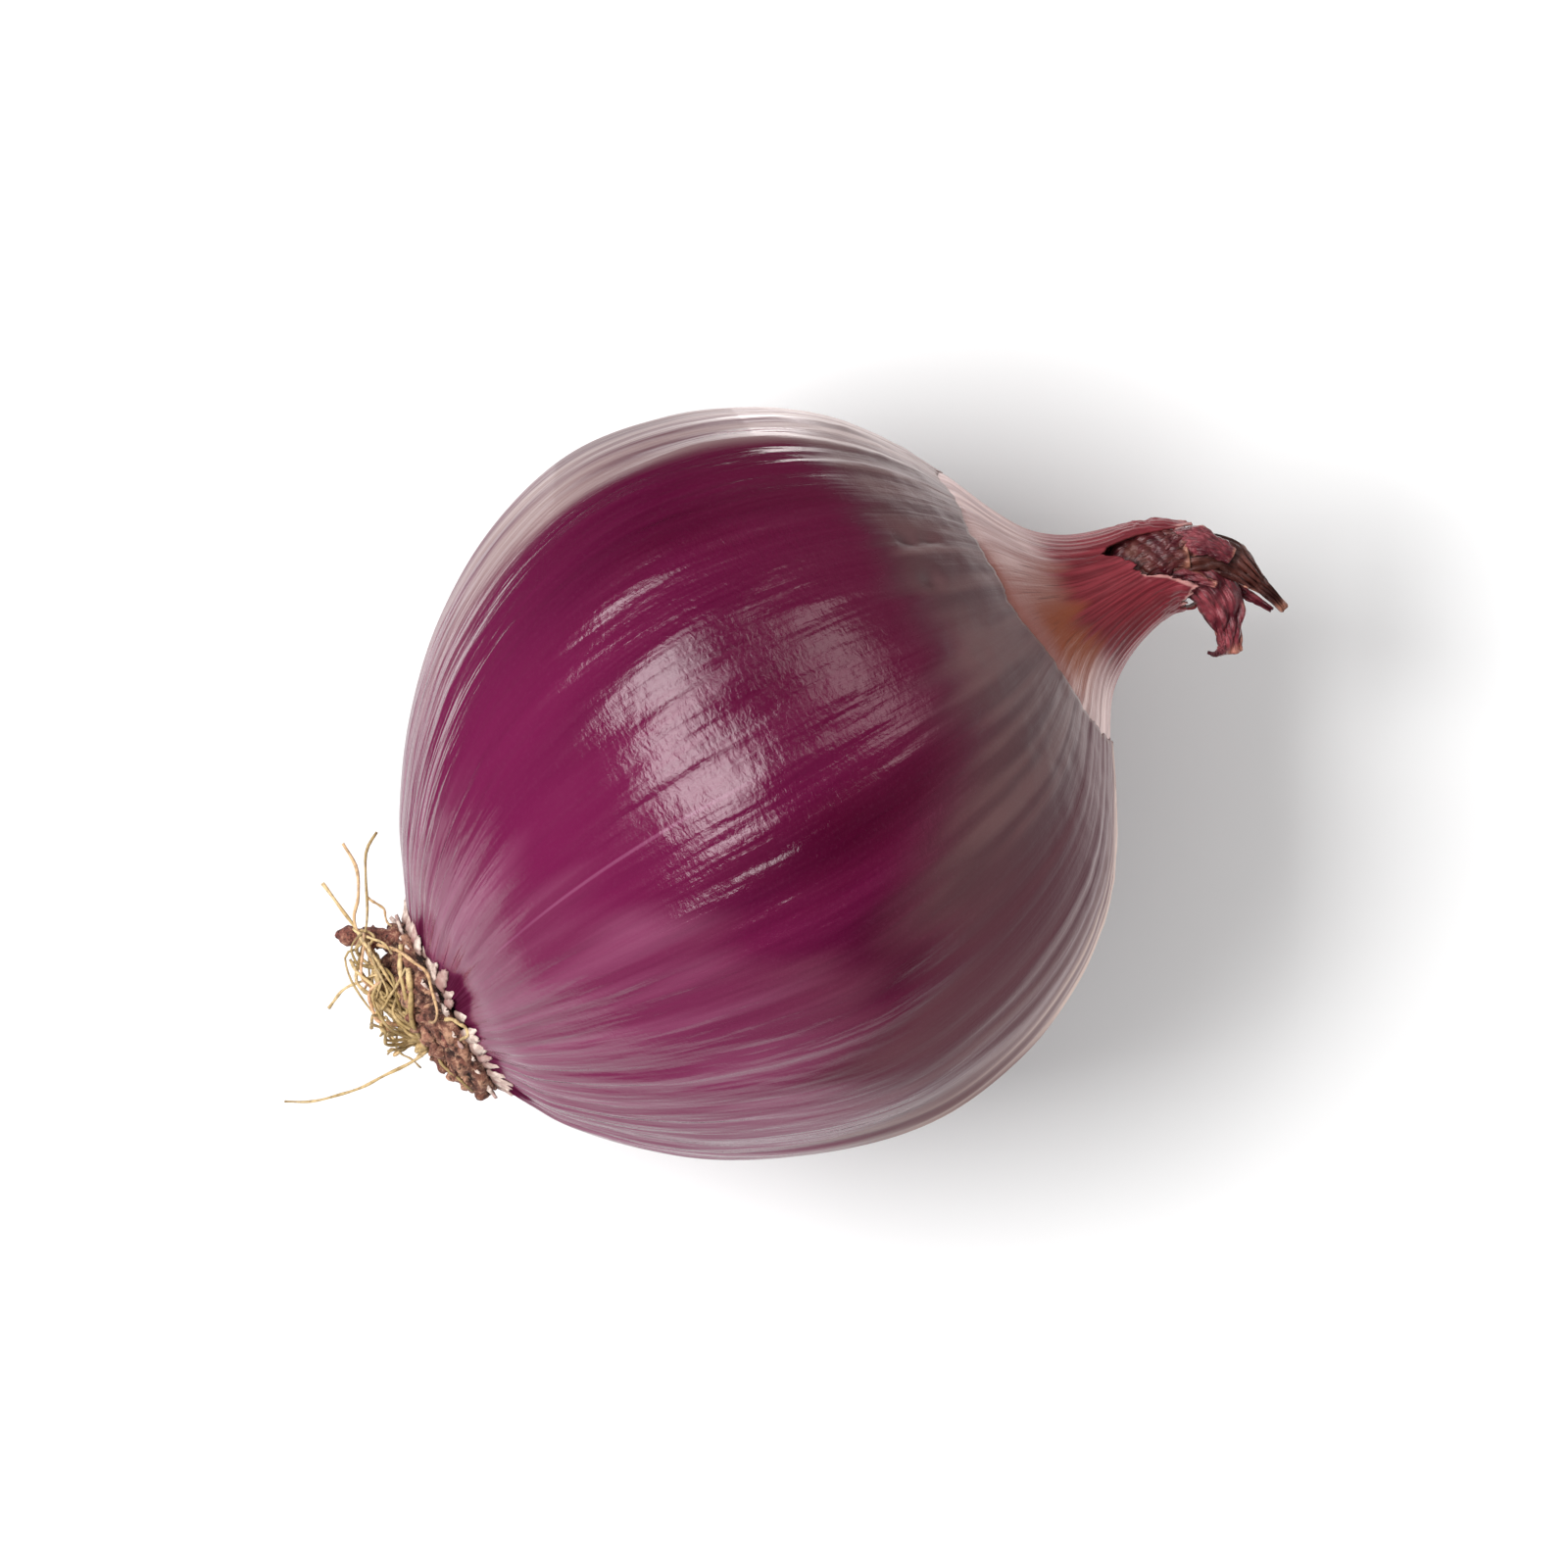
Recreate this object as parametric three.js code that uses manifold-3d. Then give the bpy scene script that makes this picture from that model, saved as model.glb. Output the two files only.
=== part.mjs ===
// Red onion lying on its side, in millimetres, +Z up.
// The bulb's axis runs along X, from the roots at -X to the neck at +X, and the origin is the
// middle of the small flat spot that the bulb rests on.
import * as THREE from 'three';
import { mergeVertices } from 'three/addons/utils/BufferGeometryUtils.js';
import Module from 'manifold-3d';

const wasm = await Module();
wasm.setup();

// Driving dimensions
const BULB_RADIUS = 40;
const REST_DEPTH = 0.5; // how much of the round belly the resting flat takes off
const AXIS_HEIGHT = BULB_RADIUS - REST_DEPTH;
const RIB_COUNT = 60;
const RIB_HEIGHT = 0.26;
const SKIN_THICKNESS = 0.6; // of the outer skin's torn edge on the shoulder
const FIT_GAP = 0.3; // between a piece and the one that it grows from
const NECK_WALL = 0.75;
const ROOT_OFFSET = -4.4; // how far the root plate sits to the side of the axis, along Y
const PLATE_RADIUS = 10.1;
const SCALE_COUNT = 26; // torn tips of old skins round the root plate
const ROOT_RADIUS = 0.3;
const TUFT_ROOTS = 14;
const SHORT_ROOTS = 10;

// Outlines as [along the axis, radius], root end first
const SKIN_OUTLINE = [
  [-39.2, 10.4], [-37.3, 14.4], [-34.6, 19.2], [-28.6, 26.3], [-20.7, 32.8], [-10.4, 37.9],
  [0, BULB_RADIUS], [10.4, 38.5], [18.6, 35.0], [24.9, 30.3], [29.1, 25.3], [32.7, 19.3],
  [35.2, 14.5],
];
const NECK_OUTLINE = [
  [30.6, 20.2], [33.0, 16.6], [35.2, 12.4], [37.3, 9.8], [39.6, 8.0], [42.4, 6.6], [46.0, 5.6],
  [50.0, 5.1], [54.0, 4.9],
];

// Torn ends as [degrees round the axis from +Y, along the axis]: of the outer skin on the
// shoulder, and of the neck's dry sheath
const SKIN_END = [
  [0, 32.6], [40, 32.1], [80, 32.0], [103, 32.9], [128, 33.7], [165, 34.6], [200, 34.4],
  [240, 33.3], [280, 32.4], [320, 32.8],
];
const SHEATH_END = [
  [0, 52.3], [22, 52.8], [38, 50.0], [44, 44.6], [52, 42.9], [64, 44.3], [78, 45.5], [96, 46.4],
  [108, 48.4], [128, 50.2], [146, 48.8], [166, 48.2], [182, 49.8], [196, 49.9], [218, 47.6],
  [240, 50.3], [262, 48.6], [284, 50.9], [310, 49.8], [336, 51.6],
];

const FULL_TURN = 2 * Math.PI;
const clamp01 = (t) => Math.min(1, Math.max(0, t));
const smooth = (low, high, value) => THREE.MathUtils.smoothstep(value, low, high);

// A seeded draw, so that every build gives the same onion
function seededRandom(seed) {
  let state = seed;
  return () => {
    state = (state * 1664525 + 1013904223) % 4294967296;
    return state / 4294967296;
  };
}

function outlineCurve(points) {
  return new THREE.SplineCurve(points.map(([x, r]) => new THREE.Vector2(x, r)));
}

// The bulb leans to -Y towards its roots and a little to +Y at the shoulder, and the neck's end
// bends to -Y.
function sideways(x) {
  const toRoots = clamp01(-x / 39.2);
  const toShoulder = Math.exp(-(((x - 34) / 4) ** 2));
  const toTip = clamp01((x - 45.5) / 8);
  return ROOT_OFFSET * toRoots ** 2.8 + 0.6 * toShoulder - 2.9 * toTip ** 2;
}

// The x of a torn end at an angle, in straight lines between the listed ones
function endAt(table, angle) {
  const degrees = (THREE.MathUtils.radToDeg(angle) + 360) % 360;
  const [firstDegrees, firstX] = table[0];
  const ends = [...table, [firstDegrees + 360, firstX]];
  const after = ends.findIndex(([atDegrees]) => atDegrees > degrees);
  const [a, b] = [ends[after - 1], ends[after]];
  return THREE.MathUtils.mapLinear(degrees, a[0], b[0], a[1], b[1]);
}

// The share of an outline's length at which it reaches x
function shareAt(curve, x) {
  let [low, high] = [0, 1];
  for (let k = 0; k < 24; k++) {
    const middle = (low + high) / 2;
    if (curve.getPointAt(middle).x < x) low = middle;
    else high = middle;
  }
  return low;
}

// A point at the given place along the axis, distance from it and angle round it from +Y
function aroundAxis(x, radius, angle) {
  return new THREE.Vector3(
    x,
    sideways(x) + radius * Math.cos(angle),
    AXIS_HEIGHT + radius * Math.sin(angle),
  );
}

// A point on an outline turned round the axis, raised along the outline's normal
function onOutline(curve, u, angle, raise) {
  const at = curve.getPointAt(u);
  const along = curve.getTangentAt(u);
  const uneven = 1 + 0.006 * Math.sin(2 * angle + 0.5) + 0.005 * Math.sin(3 * angle + 0.05 * at.x);
  return aroundAxis(at.x - raise * along.y, at.y * uneven + raise * along.x, angle);
}

// Solids

function toSolid(geometry) {
  const bare = new THREE.BufferGeometry();
  bare.setAttribute('position', geometry.getAttribute('position').clone());
  if (geometry.index) bare.setIndex(geometry.index);
  const merged = mergeVertices(bare, 1e-4);
  return new wasm.Manifold(
    new wasm.Mesh({
      numProp: 3,
      vertProperties: new Float32Array(merged.getAttribute('position').array),
      triVerts: new Uint32Array(merged.index.array),
    }),
  );
}

function toGeometry(solid) {
  const mesh = solid.getMesh();
  const geometry = new THREE.BufferGeometry();
  geometry.setAttribute('position', new THREE.BufferAttribute(mesh.vertProperties, 3));
  geometry.setIndex(new THREE.BufferAttribute(mesh.triVerts, 1));
  geometry.computeVertexNormals();
  return geometry;
}

function indexedGeometry(points, faces) {
  const geometry = new THREE.BufferGeometry().setFromPoints(points);
  geometry.setIndex(faces.flat());
  return geometry;
}

// Joins crossing pieces into one body. Its outer shell alone is kept, so that a small pocket
// closed in between the pieces is solid.
function fuse(geometries) {
  const whole = geometries.map(toSolid).reduce((sum, piece) => sum.add(piece));
  return whole.decompose().reduce((a, b) => (b.volume() > a.volume() ? b : a));
}

// A closed skin over rings of points that all have the same count, with a point at each end.
// The rings run so that, seen from the first end, they turn clockwise.
function closedRings(firstPoint, rings, lastPoint) {
  const count = rings[0].length;
  const points = [firstPoint, ...rings.flat(), lastPoint];
  const last = points.length - 1;
  const faces = [];
  for (let j = 0; j < count; j++) {
    const next = (j + 1) % count;
    faces.push([0, 1 + next, 1 + j]);
    for (let i = 0; i + 1 < rings.length; i++) {
      const near = 1 + i * count;
      const far = near + count;
      faces.push([near + j, near + next, far + next], [near + j, far + next, far + j]);
    }
    const end = 1 + (rings.length - 1) * count;
    faces.push([end + j, end + next, last]);
  }
  return indexedGeometry(points, faces);
}

// A tapering root or shred along a curve
function tube(curve, radiusAt, sides, steps) {
  const frames = curve.computeFrenetFrames(steps, false);
  const rings = [];
  for (let i = 0; i <= steps; i++) {
    const centre = curve.getPointAt(i / steps);
    const radius = radiusAt(i / steps);
    rings.push(
      Array.from({ length: sides }, (_, j) => {
        const angle = (FULL_TURN * j) / sides;
        return centre
          .clone()
          .addScaledVector(frames.normals[i], radius * Math.cos(angle))
          .addScaledVector(frames.binormals[i], radius * Math.sin(angle));
      }),
    );
  }
  return closedRings(curve.getPointAt(0), rings, curve.getPointAt(1));
}

// A thin leaf: a grid of points with both faces split into triangles alike, and a closed rim
function leafSolid(pointAt, thickness, lengthSteps, widthSteps) {
  const rows = lengthSteps + 1;
  const columns = widthSteps + 1;
  const middle = [];
  for (let i = 0; i < rows; i++)
    for (let j = 0; j < columns; j++) middle.push(pointAt(i / lengthSteps, (2 * j) / widthSteps - 1));
  const at = (i, j) => middle[i * columns + j];
  const normalAt = (i, j) => {
    const lengthways = at(Math.min(i + 1, lengthSteps), j).clone().sub(at(Math.max(i - 1, 0), j));
    const across = at(i, Math.min(j + 1, widthSteps)).clone().sub(at(i, Math.max(j - 1, 0)));
    return lengthways.cross(across).normalize();
  };
  const side = (sign) =>
    middle.map((p, k) =>
      p.clone().addScaledVector(normalAt(Math.floor(k / columns), k % columns), (sign * thickness) / 2),
    );
  const points = [...side(1), ...side(-1)];
  const under = rows * columns;
  const faces = [];
  for (let i = 0; i < lengthSteps; i++)
    for (let j = 0; j < widthSteps; j++) {
      const a = i * columns + j;
      const b = a + columns;
      faces.push([a, b, b + 1], [a, b + 1, a + 1]);
      faces.push([under + a, under + b + 1, under + b], [under + a, under + a + 1, under + b + 1]);
    }
  const rim = [];
  for (let j = 0; j < widthSteps; j++) rim.push(j);
  for (let i = 0; i < lengthSteps; i++) rim.push(i * columns + widthSteps);
  for (let j = widthSteps; j > 0; j--) rim.push(lengthSteps * columns + j);
  for (let i = lengthSteps; i > 0; i--) rim.push(i * columns);
  rim.forEach((a, k) => {
    const b = rim[(k + 1) % rim.length];
    faces.push([a, b, under + b], [a, under + b, under + a]);
  });
  return indexedGeometry(points, faces);
}

// The bulb, with its raised ribs, the torn edge of its outer skin and the seats of neck and roots

const skinCurve = outlineCurve(SKIN_OUTLINE);
const BULB_ROWS = 22;
const SEAT_X = 30.8; // where the neck's seat meets the outer skin
const PLATE_SEAT_X = -37.0;
const PLATE_SEAT_RADIUS = 7.2;

// Ribs stand at even steps of this angle, and the warp makes their spacing uneven.
const ribAngle = (turn) => turn + 0.03 * Math.sin(3 * turn + 1) + 0.02 * Math.sin(7 * turn + 2);

const seatX = onOutline(skinCurve, shareAt(skinCurve, SEAT_X), 0, -SKIN_THICKNESS).x;

function bulbColumns() {
  return Array.from({ length: 2 * RIB_COUNT }, (_, j) => {
    const turn = (FULL_TURN * j) / (2 * RIB_COUNT);
    const strength = 0.75 + 0.25 * Math.sin(5 * turn + 0.6) * Math.sin(2 * turn);
    return { angle: ribAngle(turn), raise: (j % 2 ? -0.5 : 0.5) * RIB_HEIGHT * strength };
  });
}

const seatShare = shareAt(skinCurve, SEAT_X);

function skinEnd(angle, draw) {
  const ragged = 0.12 * Math.sin(9 * angle + 1) + 0.35 * (draw() - 0.5);
  return shareAt(skinCurve, endAt(SKIN_END, angle) + ragged);
}

function bulb() {
  const draw = seededRandom(7);
  const columns = bulbColumns().map((c) => ({ ...c, end: skinEnd(c.angle, draw) }));
  const rings = [];
  rings.push(columns.map((c) => aroundAxis(PLATE_SEAT_X, PLATE_SEAT_RADIUS, c.angle)));
  for (let i = 0; i <= BULB_ROWS; i++) {
    const share = i / BULB_ROWS;
    const fade = smooth(0, 0.06, share);
    rings.push(columns.map((c) => onOutline(skinCurve, share * c.end, c.angle, c.raise * fade)));
  }
  for (const back of [0, 0.5, 1]) {
    const shareFor = (end) => THREE.MathUtils.lerp(end, seatShare, back);
    rings.push(
      columns.map((c) => onOutline(skinCurve, shareFor(c.end), c.angle, -SKIN_THICKNESS)),
    );
  }
  const whole = toSolid(
    closedRings(aroundAxis(PLATE_SEAT_X, 0, 0), rings, aroundAxis(seatX, 0, 0)),
  );
  const table = new THREE.BoxGeometry(4 * BULB_RADIUS, 4 * BULB_RADIUS, BULB_RADIUS);
  table.translate(0, 0, -BULB_RADIUS / 2);
  return toGeometry(whole.subtract(toSolid(table)));
}

// The neck: the inner skin drawn out to a dry sheath, torn open on top

const neckCurve = outlineCurve(NECK_OUTLINE);
const NECK_COLUMNS = 52;
const NECK_ROWS = 13;
const NECK_RIB = 0.14;
const CAVITY_FLOOR_X = 41.6;
const CAVITY_FLOOR_RADIUS = 4.4;


function neck() {
  const first = shareAt(neckCurve, seatX + FIT_GAP + 0.15);
  const floorShare = shareAt(neckCurve, CAVITY_FLOOR_X);
  const columns = Array.from({ length: NECK_COLUMNS }, (_, j) => {
    const angle = (FULL_TURN * j) / NECK_COLUMNS;
    const end = shareAt(neckCurve, endAt(SHEATH_END, angle));
    return { angle, raise: (j % 2 ? -0.5 : 0.5) * NECK_RIB, end };
  });
  const outside = [];
  for (let i = 0; i <= NECK_ROWS; i++) {
    const share = i / NECK_ROWS;
    outside.push(
      columns.map((c) =>
        onOutline(neckCurve, first + (c.end - first) * share, c.angle, c.raise * smooth(0, 0.3, share)),
      ),
    );
  }
  const inside = [1, 0.75, 0.45].map((share) =>
    columns.map((c) =>
      onOutline(neckCurve, floorShare + (c.end - floorShare) * share, c.angle, -NECK_WALL),
    ),
  );
  const floor = columns.map((c) => aroundAxis(CAVITY_FLOOR_X, CAVITY_FLOOR_RADIUS, c.angle));
  return closedRings(
    aroundAxis(seatX + FIT_GAP, 0, 0),
    [...outside, ...inside, floor],
    aroundAxis(CAVITY_FLOOR_X, 0, 0),
  );
}

// The dried leaf tips that stand in the neck's sheath. Heights are above the bulb's axis.
// face is which way the leaf's broad side looks, and curl how far its edges bend round.
const DRY_LEAVES = [
  {
    spine: [[42.6, 0, 0.6], [46.6, 0.3, 2.4], [51, -0.3, 3], [54.8, -2.6, 2.4], [56.3, -6.6, 1.4], [57.5, -10.6, 0]],
    face: [0.2, 0.2, 1], halfWidth: 2.7, curl: 1.1, wave: 0.25,
  },
  {
    spine: [[42.6, -0.8, 0], [47.2, -1.0, 1.3], [51.0, -3.0, 2.4], [52.0, -7.2, 1.5], [50.2, -12.2, -1.0]],
    face: [0.1, 0, 1], halfWidth: 2.7, curl: 0.8, wave: 0.3,
  },
  {
    spine: [[42.6, -1, -0.9], [48.5, -1.6, -0.9], [52.6, -4, -0.6], [55.2, -8, -0.9], [56.4, -10.2, -1.8]],
    face: [0.3, 0.2, -1], halfWidth: 1.5, curl: 1.2, wave: 0.3,
  },
  {
    spine: [[42.6, 1.2, -0.6], [47.5, 1.6, -1.6], [51.6, 0.6, -2.8], [54.2, -2.4, -4.2]],
    face: [0, 0.4, -1], halfWidth: 1.9, curl: 1.2, wave: 0.3,
  },
  {
    spine: [[42.6, -1.4, 1.0], [46.4, -1.7, 1.8], [49.8, -2.8, 2.6], [52.0, -4.8, 2.9]],
    face: [0, -0.6, 1], halfWidth: 1.3, curl: 1, wave: 0.3,
  },
];
const LEAF_THICKNESS = 0.7;
const LEAF_STUB_RADIUS = 3.2;
const LEAF_STUB_END_X = 45.2;

function dryLeaf({ spine, face, halfWidth, curl, wave }) {
  const curve = new THREE.CatmullRomCurve3(
    spine.map(([x, y, z]) => new THREE.Vector3(x, y, z + AXIS_HEIGHT)),
  );
  const look = new THREE.Vector3(...face).normalize();
  return leafSolid(
    (share, across) => {
      const along = curve.getTangentAt(share);
      const side = along.clone().cross(look).normalize();
      const out = side.clone().cross(along).normalize();
      const taper = 0.55 + 0.45 * smooth(0, 0.35, share) - 0.78 * smooth(0.5, 1, share);
      const bend = curl * across;
      const reach = (halfWidth * taper) / curl;
      const ripple = wave * Math.sin(9 * share + 3 * across) * smooth(0.2, 0.6, share);
      return curve
        .getPointAt(share)
        .addScaledVector(side, reach * Math.sin(bend))
        .addScaledVector(out, reach * (Math.cos(bend) - 1) + ripple);
    },
    LEAF_THICKNESS,
    9,
    4,
  );
}

function dryLeaves() {
  const stubSides = 14;
  const ring = (x, radius) =>
    Array.from({ length: stubSides }, (_, j) => aroundAxis(x, radius, (FULL_TURN * j) / stubSides));
  const baseX = CAVITY_FLOOR_X + FIT_GAP;
  const stub = closedRings(
    aroundAxis(baseX, 0, 0),
    [ring(baseX, LEAF_STUB_RADIUS), ring(LEAF_STUB_END_X, 0.8 * LEAF_STUB_RADIUS)],
    aroundAxis(LEAF_STUB_END_X + 0.8, 0, 0),
  );
  return toGeometry(fuse([stub, ...DRY_LEAVES.map(dryLeaf)]));
}

// The root plate: a corky disc with the whitish torn tips of old skins round its rim

const PLATE_OUTLINE = [
  [PLATE_SEAT_X - FIT_GAP, PLATE_SEAT_RADIUS - 0.9],
  [-39.6, 8.3],
  [-39.9, 9.7],
  [-40.7, PLATE_RADIUS],
  [-42.0, 9.6],
  [-43.0, 7.6],
  [-43.5, 5.2],
  [-43.6, 2.4],
];
const PLATE_COLUMNS = 36;
const PLATE_TIP_X = -43.6;

const plateLump = (x, angle) =>
  smooth(-39.8, -41.2, x) *
  (0.4 * Math.sin(5 * angle + 0.7) * Math.sin(2 * angle) + 0.35 * Math.sin(11 * angle + x));

function platePoint(x, radius, angle) {
  return new THREE.Vector3(
    x,
    ROOT_OFFSET + radius * Math.cos(angle),
    AXIS_HEIGHT + radius * Math.sin(angle),
  );
}

function plateDisc() {
  const rings = PLATE_OUTLINE.map(([x, radius]) =>
    Array.from({ length: PLATE_COLUMNS }, (_, j) => {
      const angle = (FULL_TURN * j) / PLATE_COLUMNS;
      const lump = plateLump(x, angle);
      return platePoint(x - 0.6 * lump * smooth(11, 4, radius), radius + lump, angle);
    }),
  );
  rings.reverse();
  return closedRings(
    platePoint(PLATE_TIP_X, 0, 0),
    rings,
    platePoint(PLATE_SEAT_X - FIT_GAP, 0, 0),
  );
}

// A torn skin tip is a small thick triangle that leans out over the bulb's end.
function tornTip(angle, length, width) {
  const radial = new THREE.Vector3(0, Math.cos(angle), Math.sin(angle));
  const sideways3 = new THREE.Vector3(0, -Math.sin(angle), Math.cos(angle));
  const lean = new THREE.Vector3(0.4, 0, 0).add(radial).normalize();
  const foot = platePoint(-40.45, PLATE_RADIUS - 1.0, angle);
  return leafSolid(
    (share, across) =>
      foot
        .clone()
        .addScaledVector(lean, share * length)
        .addScaledVector(sideways3, across * width * (1 - 0.72 * share)),
    0.6,
    2,
    2,
  );
}

// Corky knobs where old roots broke off
function knob(angle, radius, size) {
  const ball = new THREE.IcosahedronGeometry(size, 1);
  ball.scale(1.3, 1, 1);
  ball.rotateX(angle);
  const x = radius > 8 ? -42.0 : -43.3;
  ball.translate(...platePoint(x, radius, angle).toArray());
  return ball;
}

function rootPlate() {
  const draw = seededRandom(23);
  const pieces = [plateDisc()];
  for (let k = 0; k < SCALE_COUNT; k++) {
    const angle = (FULL_TURN * (k + 0.6 * (draw() - 0.5))) / SCALE_COUNT;
    pieces.push(tornTip(angle, 2.2 + 0.7 * draw(), 0.75 + 0.3 * draw()));
  }
  for (let k = 0; k < 9; k++) {
    const angle = (FULL_TURN * (k + 0.5 * draw())) / 9;
    pieces.push(knob(angle, 8.2 + 1.1 * draw(), 0.9 + 0.5 * draw()));
  }
  // A dried stub of skin that sticks out past the plate's upper edge
  const stub = new THREE.CatmullRomCurve3([
    platePoint(-41.2, 8.6, 0.25),
    platePoint(-43.8, 10.2, 0.2),
    platePoint(-46.4, 11.6, 0.12),
  ]);
  pieces.push(tube(stub, (share) => 1.5 - 0.6 * share, 7, 4));
  return toGeometry(fuse(pieces));
}

// The roots: dry fibres on a crown that sits against the plate. Heights are above the axis.
const CROWN_X = -44.8;
const CROWN_CENTRE = [CROWN_X, -6.2, 0.6];
const LONG_ROOTS = [
  [[-44.6, -7.4, 1.0], [-46.0, -7.7, 1.6], [-49.2, -8.2, 1.4], [-52.2, -7.8, 0.2], [-56.4, -6.9, -1.8], [-60.5, -5.0, -3.6]],
  [[-44.8, -5.4, 1.2], [-45.9, -3.9, 2.6], [-47.3, -1.3, 3.2], [-47.7, 1.0, 3.6], [-47.4, 3.8, 3.9], [-46.6, 5.6, 3.6]],
  [[-44.9, -4.4, 1.6], [-46.6, 1.6, 3.0], [-45.6, 5.6, 3.6], [-45.1, 9.0, 3.8], [-45.4, 13.1, 3.4]],
  [[-44.8, -4.0, 2.4], [-46.0, 3.4, 4.4], [-44.3, 7.9, 4.6], [-41.5, 11.9, 4.6], [-41.4, 15.8, 5.0]],
  [[-44.8, -3.6, 2.8], [-45.4, 2.6, 5.2], [-43.1, 7.2, 6.6], [-40.9, 12.0, 6.8], [-38.2, 15.4, 7.0]],
  [[-44.8, -5.0, 0.6], [-45.6, -0.6, 1.8], [-47.3, 2.3, 1.6], [-49.4, 2.1, 0.6], [-51.3, 1.2, -0.8]],
  [[-44.8, -5.2, 0.2], [-46.2, -2.4, 0.4], [-47.9, -2.0, -1.0], [-48.4, -2.8, -2.8]],
  [[-44.7, -6.6, 0.8], [-46.2, -8.6, 2.6], [-46.9, -5.6, 3.8], [-46.7, -2.9, 4.2]],
  [[-44.8, -5.2, 2.4], [-45.8, -1.6, 5.4], [-44.4, 1.4, 7.0], [-42.9, 3.8, 8.4]],
];

function rootCrown() {
  const ball = new THREE.IcosahedronGeometry(1, 1);
  ball.scale(0.8, 2.4, 2.2);
  ball.translate(CROWN_CENTRE[0], CROWN_CENTRE[1], CROWN_CENTRE[2] + AXIS_HEIGHT);
  return ball;
}

function rootFibre(points) {
  const curve = new THREE.CatmullRomCurve3(
    points.map(([x, y, z]) => new THREE.Vector3(x, y, z + AXIS_HEIGHT)),
  );
  return tube(curve, (share) => ROOT_RADIUS * (1 - 0.45 * share), 5, 7);
}

// Roots of the tuft sweep over the plate towards +Y, each a little differently.
function tuftRoot(draw) {
  const length = 7 + 4.5 * draw();
  const bow = 1.7 * draw();
  const rise = 1.0 + 2.6 * draw();
  const turn = 2.6 * (draw() - 0.5);
  const [x0, y0, z0] = [CROWN_X, CROWN_CENTRE[1] - 0.4 + 1.4 * draw(), 0.2 + 1.6 * draw()];
  return [
    [x0, y0, z0],
    [x0 - 0.6 * bow, y0 + 0.4 * length, z0 + rise],
    [x0 - bow, y0 + 0.75 * length, z0 + rise + turn],
    [x0 - 0.8 * bow, y0 + length, z0 + rise + 1.8 * turn],
  ];
}

// Shorter roots fan out up, down and to +Y, so that the tuft is whole from behind too.
function shortRoot(angle, draw) {
  const length = 5 + 3.5 * draw();
  const lift = 1.6 + 1.6 * draw();
  const twist = 0.5 * (draw() - 0.5);
  const [, y0, z0] = CROWN_CENTRE;
  const at = (x, share, turn) => [
    x,
    y0 + 0.45 * share * length * (Math.cos(angle + turn) + 0.9),
    z0 + share * length * Math.sin(angle + turn),
  ];
  return [
    at(CROWN_X - 0.2, 0.1, 0),
    at(CROWN_X - lift, 0.45, 0),
    at(CROWN_X - 0.8 * lift, 0.8, twist),
    at(CROWN_X - 1.2 * lift, 1, 2 * twist),
  ];
}

function roots() {
  const draw = seededRandom(41);
  const paths = [...LONG_ROOTS];
  for (let k = 0; k < TUFT_ROOTS; k++) paths.push(tuftRoot(draw));
  for (let k = 0; k < SHORT_ROOTS; k++)
    paths.push(shortRoot((FULL_TURN * (k + 0.5 * draw())) / SHORT_ROOTS, draw));
  return toGeometry(fuse([rootCrown(), ...paths.map(rootFibre)]));
}

// The whole onion

const MATERIALS = {
  skin: { color: 0x7a1f4c, roughness: 0.28 },
  neckSkin: { color: 0x8a3a44, roughness: 0.5 },
  dryLeaf: { color: 0x5e2c28, roughness: 0.75 },
  cork: { color: 0x6e4434, roughness: 0.9 },
  root: { color: 0xc9a56e, roughness: 0.8 },
};

const onion = new THREE.Group();

function add(name, geometry, look) {
  const mesh = new THREE.Mesh(
    geometry,
    new THREE.MeshStandardMaterial({ ...MATERIALS[look], metalness: 0 }),
  );
  mesh.name = name;
  onion.add(mesh);
}

add('bulb', bulb(), 'skin');
add('neck', neck(), 'neckSkin');
add('dry_leaves', dryLeaves(), 'dryLeaf');
add('root_plate', rootPlate(), 'cork');
add('roots', roots(), 'root');

export default onion;
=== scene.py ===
import math

import bpy
import numpy as np
from mathutils import Matrix, Vector


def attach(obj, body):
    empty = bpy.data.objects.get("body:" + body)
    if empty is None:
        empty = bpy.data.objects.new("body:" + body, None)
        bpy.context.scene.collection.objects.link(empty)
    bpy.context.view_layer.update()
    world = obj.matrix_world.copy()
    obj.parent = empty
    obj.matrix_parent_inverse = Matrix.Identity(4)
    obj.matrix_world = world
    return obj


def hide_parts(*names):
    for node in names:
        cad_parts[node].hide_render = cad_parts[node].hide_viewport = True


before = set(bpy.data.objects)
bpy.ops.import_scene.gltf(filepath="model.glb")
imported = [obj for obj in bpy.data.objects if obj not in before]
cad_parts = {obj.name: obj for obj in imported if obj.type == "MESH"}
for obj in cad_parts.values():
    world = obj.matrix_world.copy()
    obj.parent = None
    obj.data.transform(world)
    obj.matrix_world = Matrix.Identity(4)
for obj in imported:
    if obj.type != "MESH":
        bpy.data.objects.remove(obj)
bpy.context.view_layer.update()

seeded = np.random.default_rng

# Lengths are in millimetres until a mesh is made, and angles go round the bulb's axis from +Y.
MM = 0.001
FULL_TURN = 2 * math.pi

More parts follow.
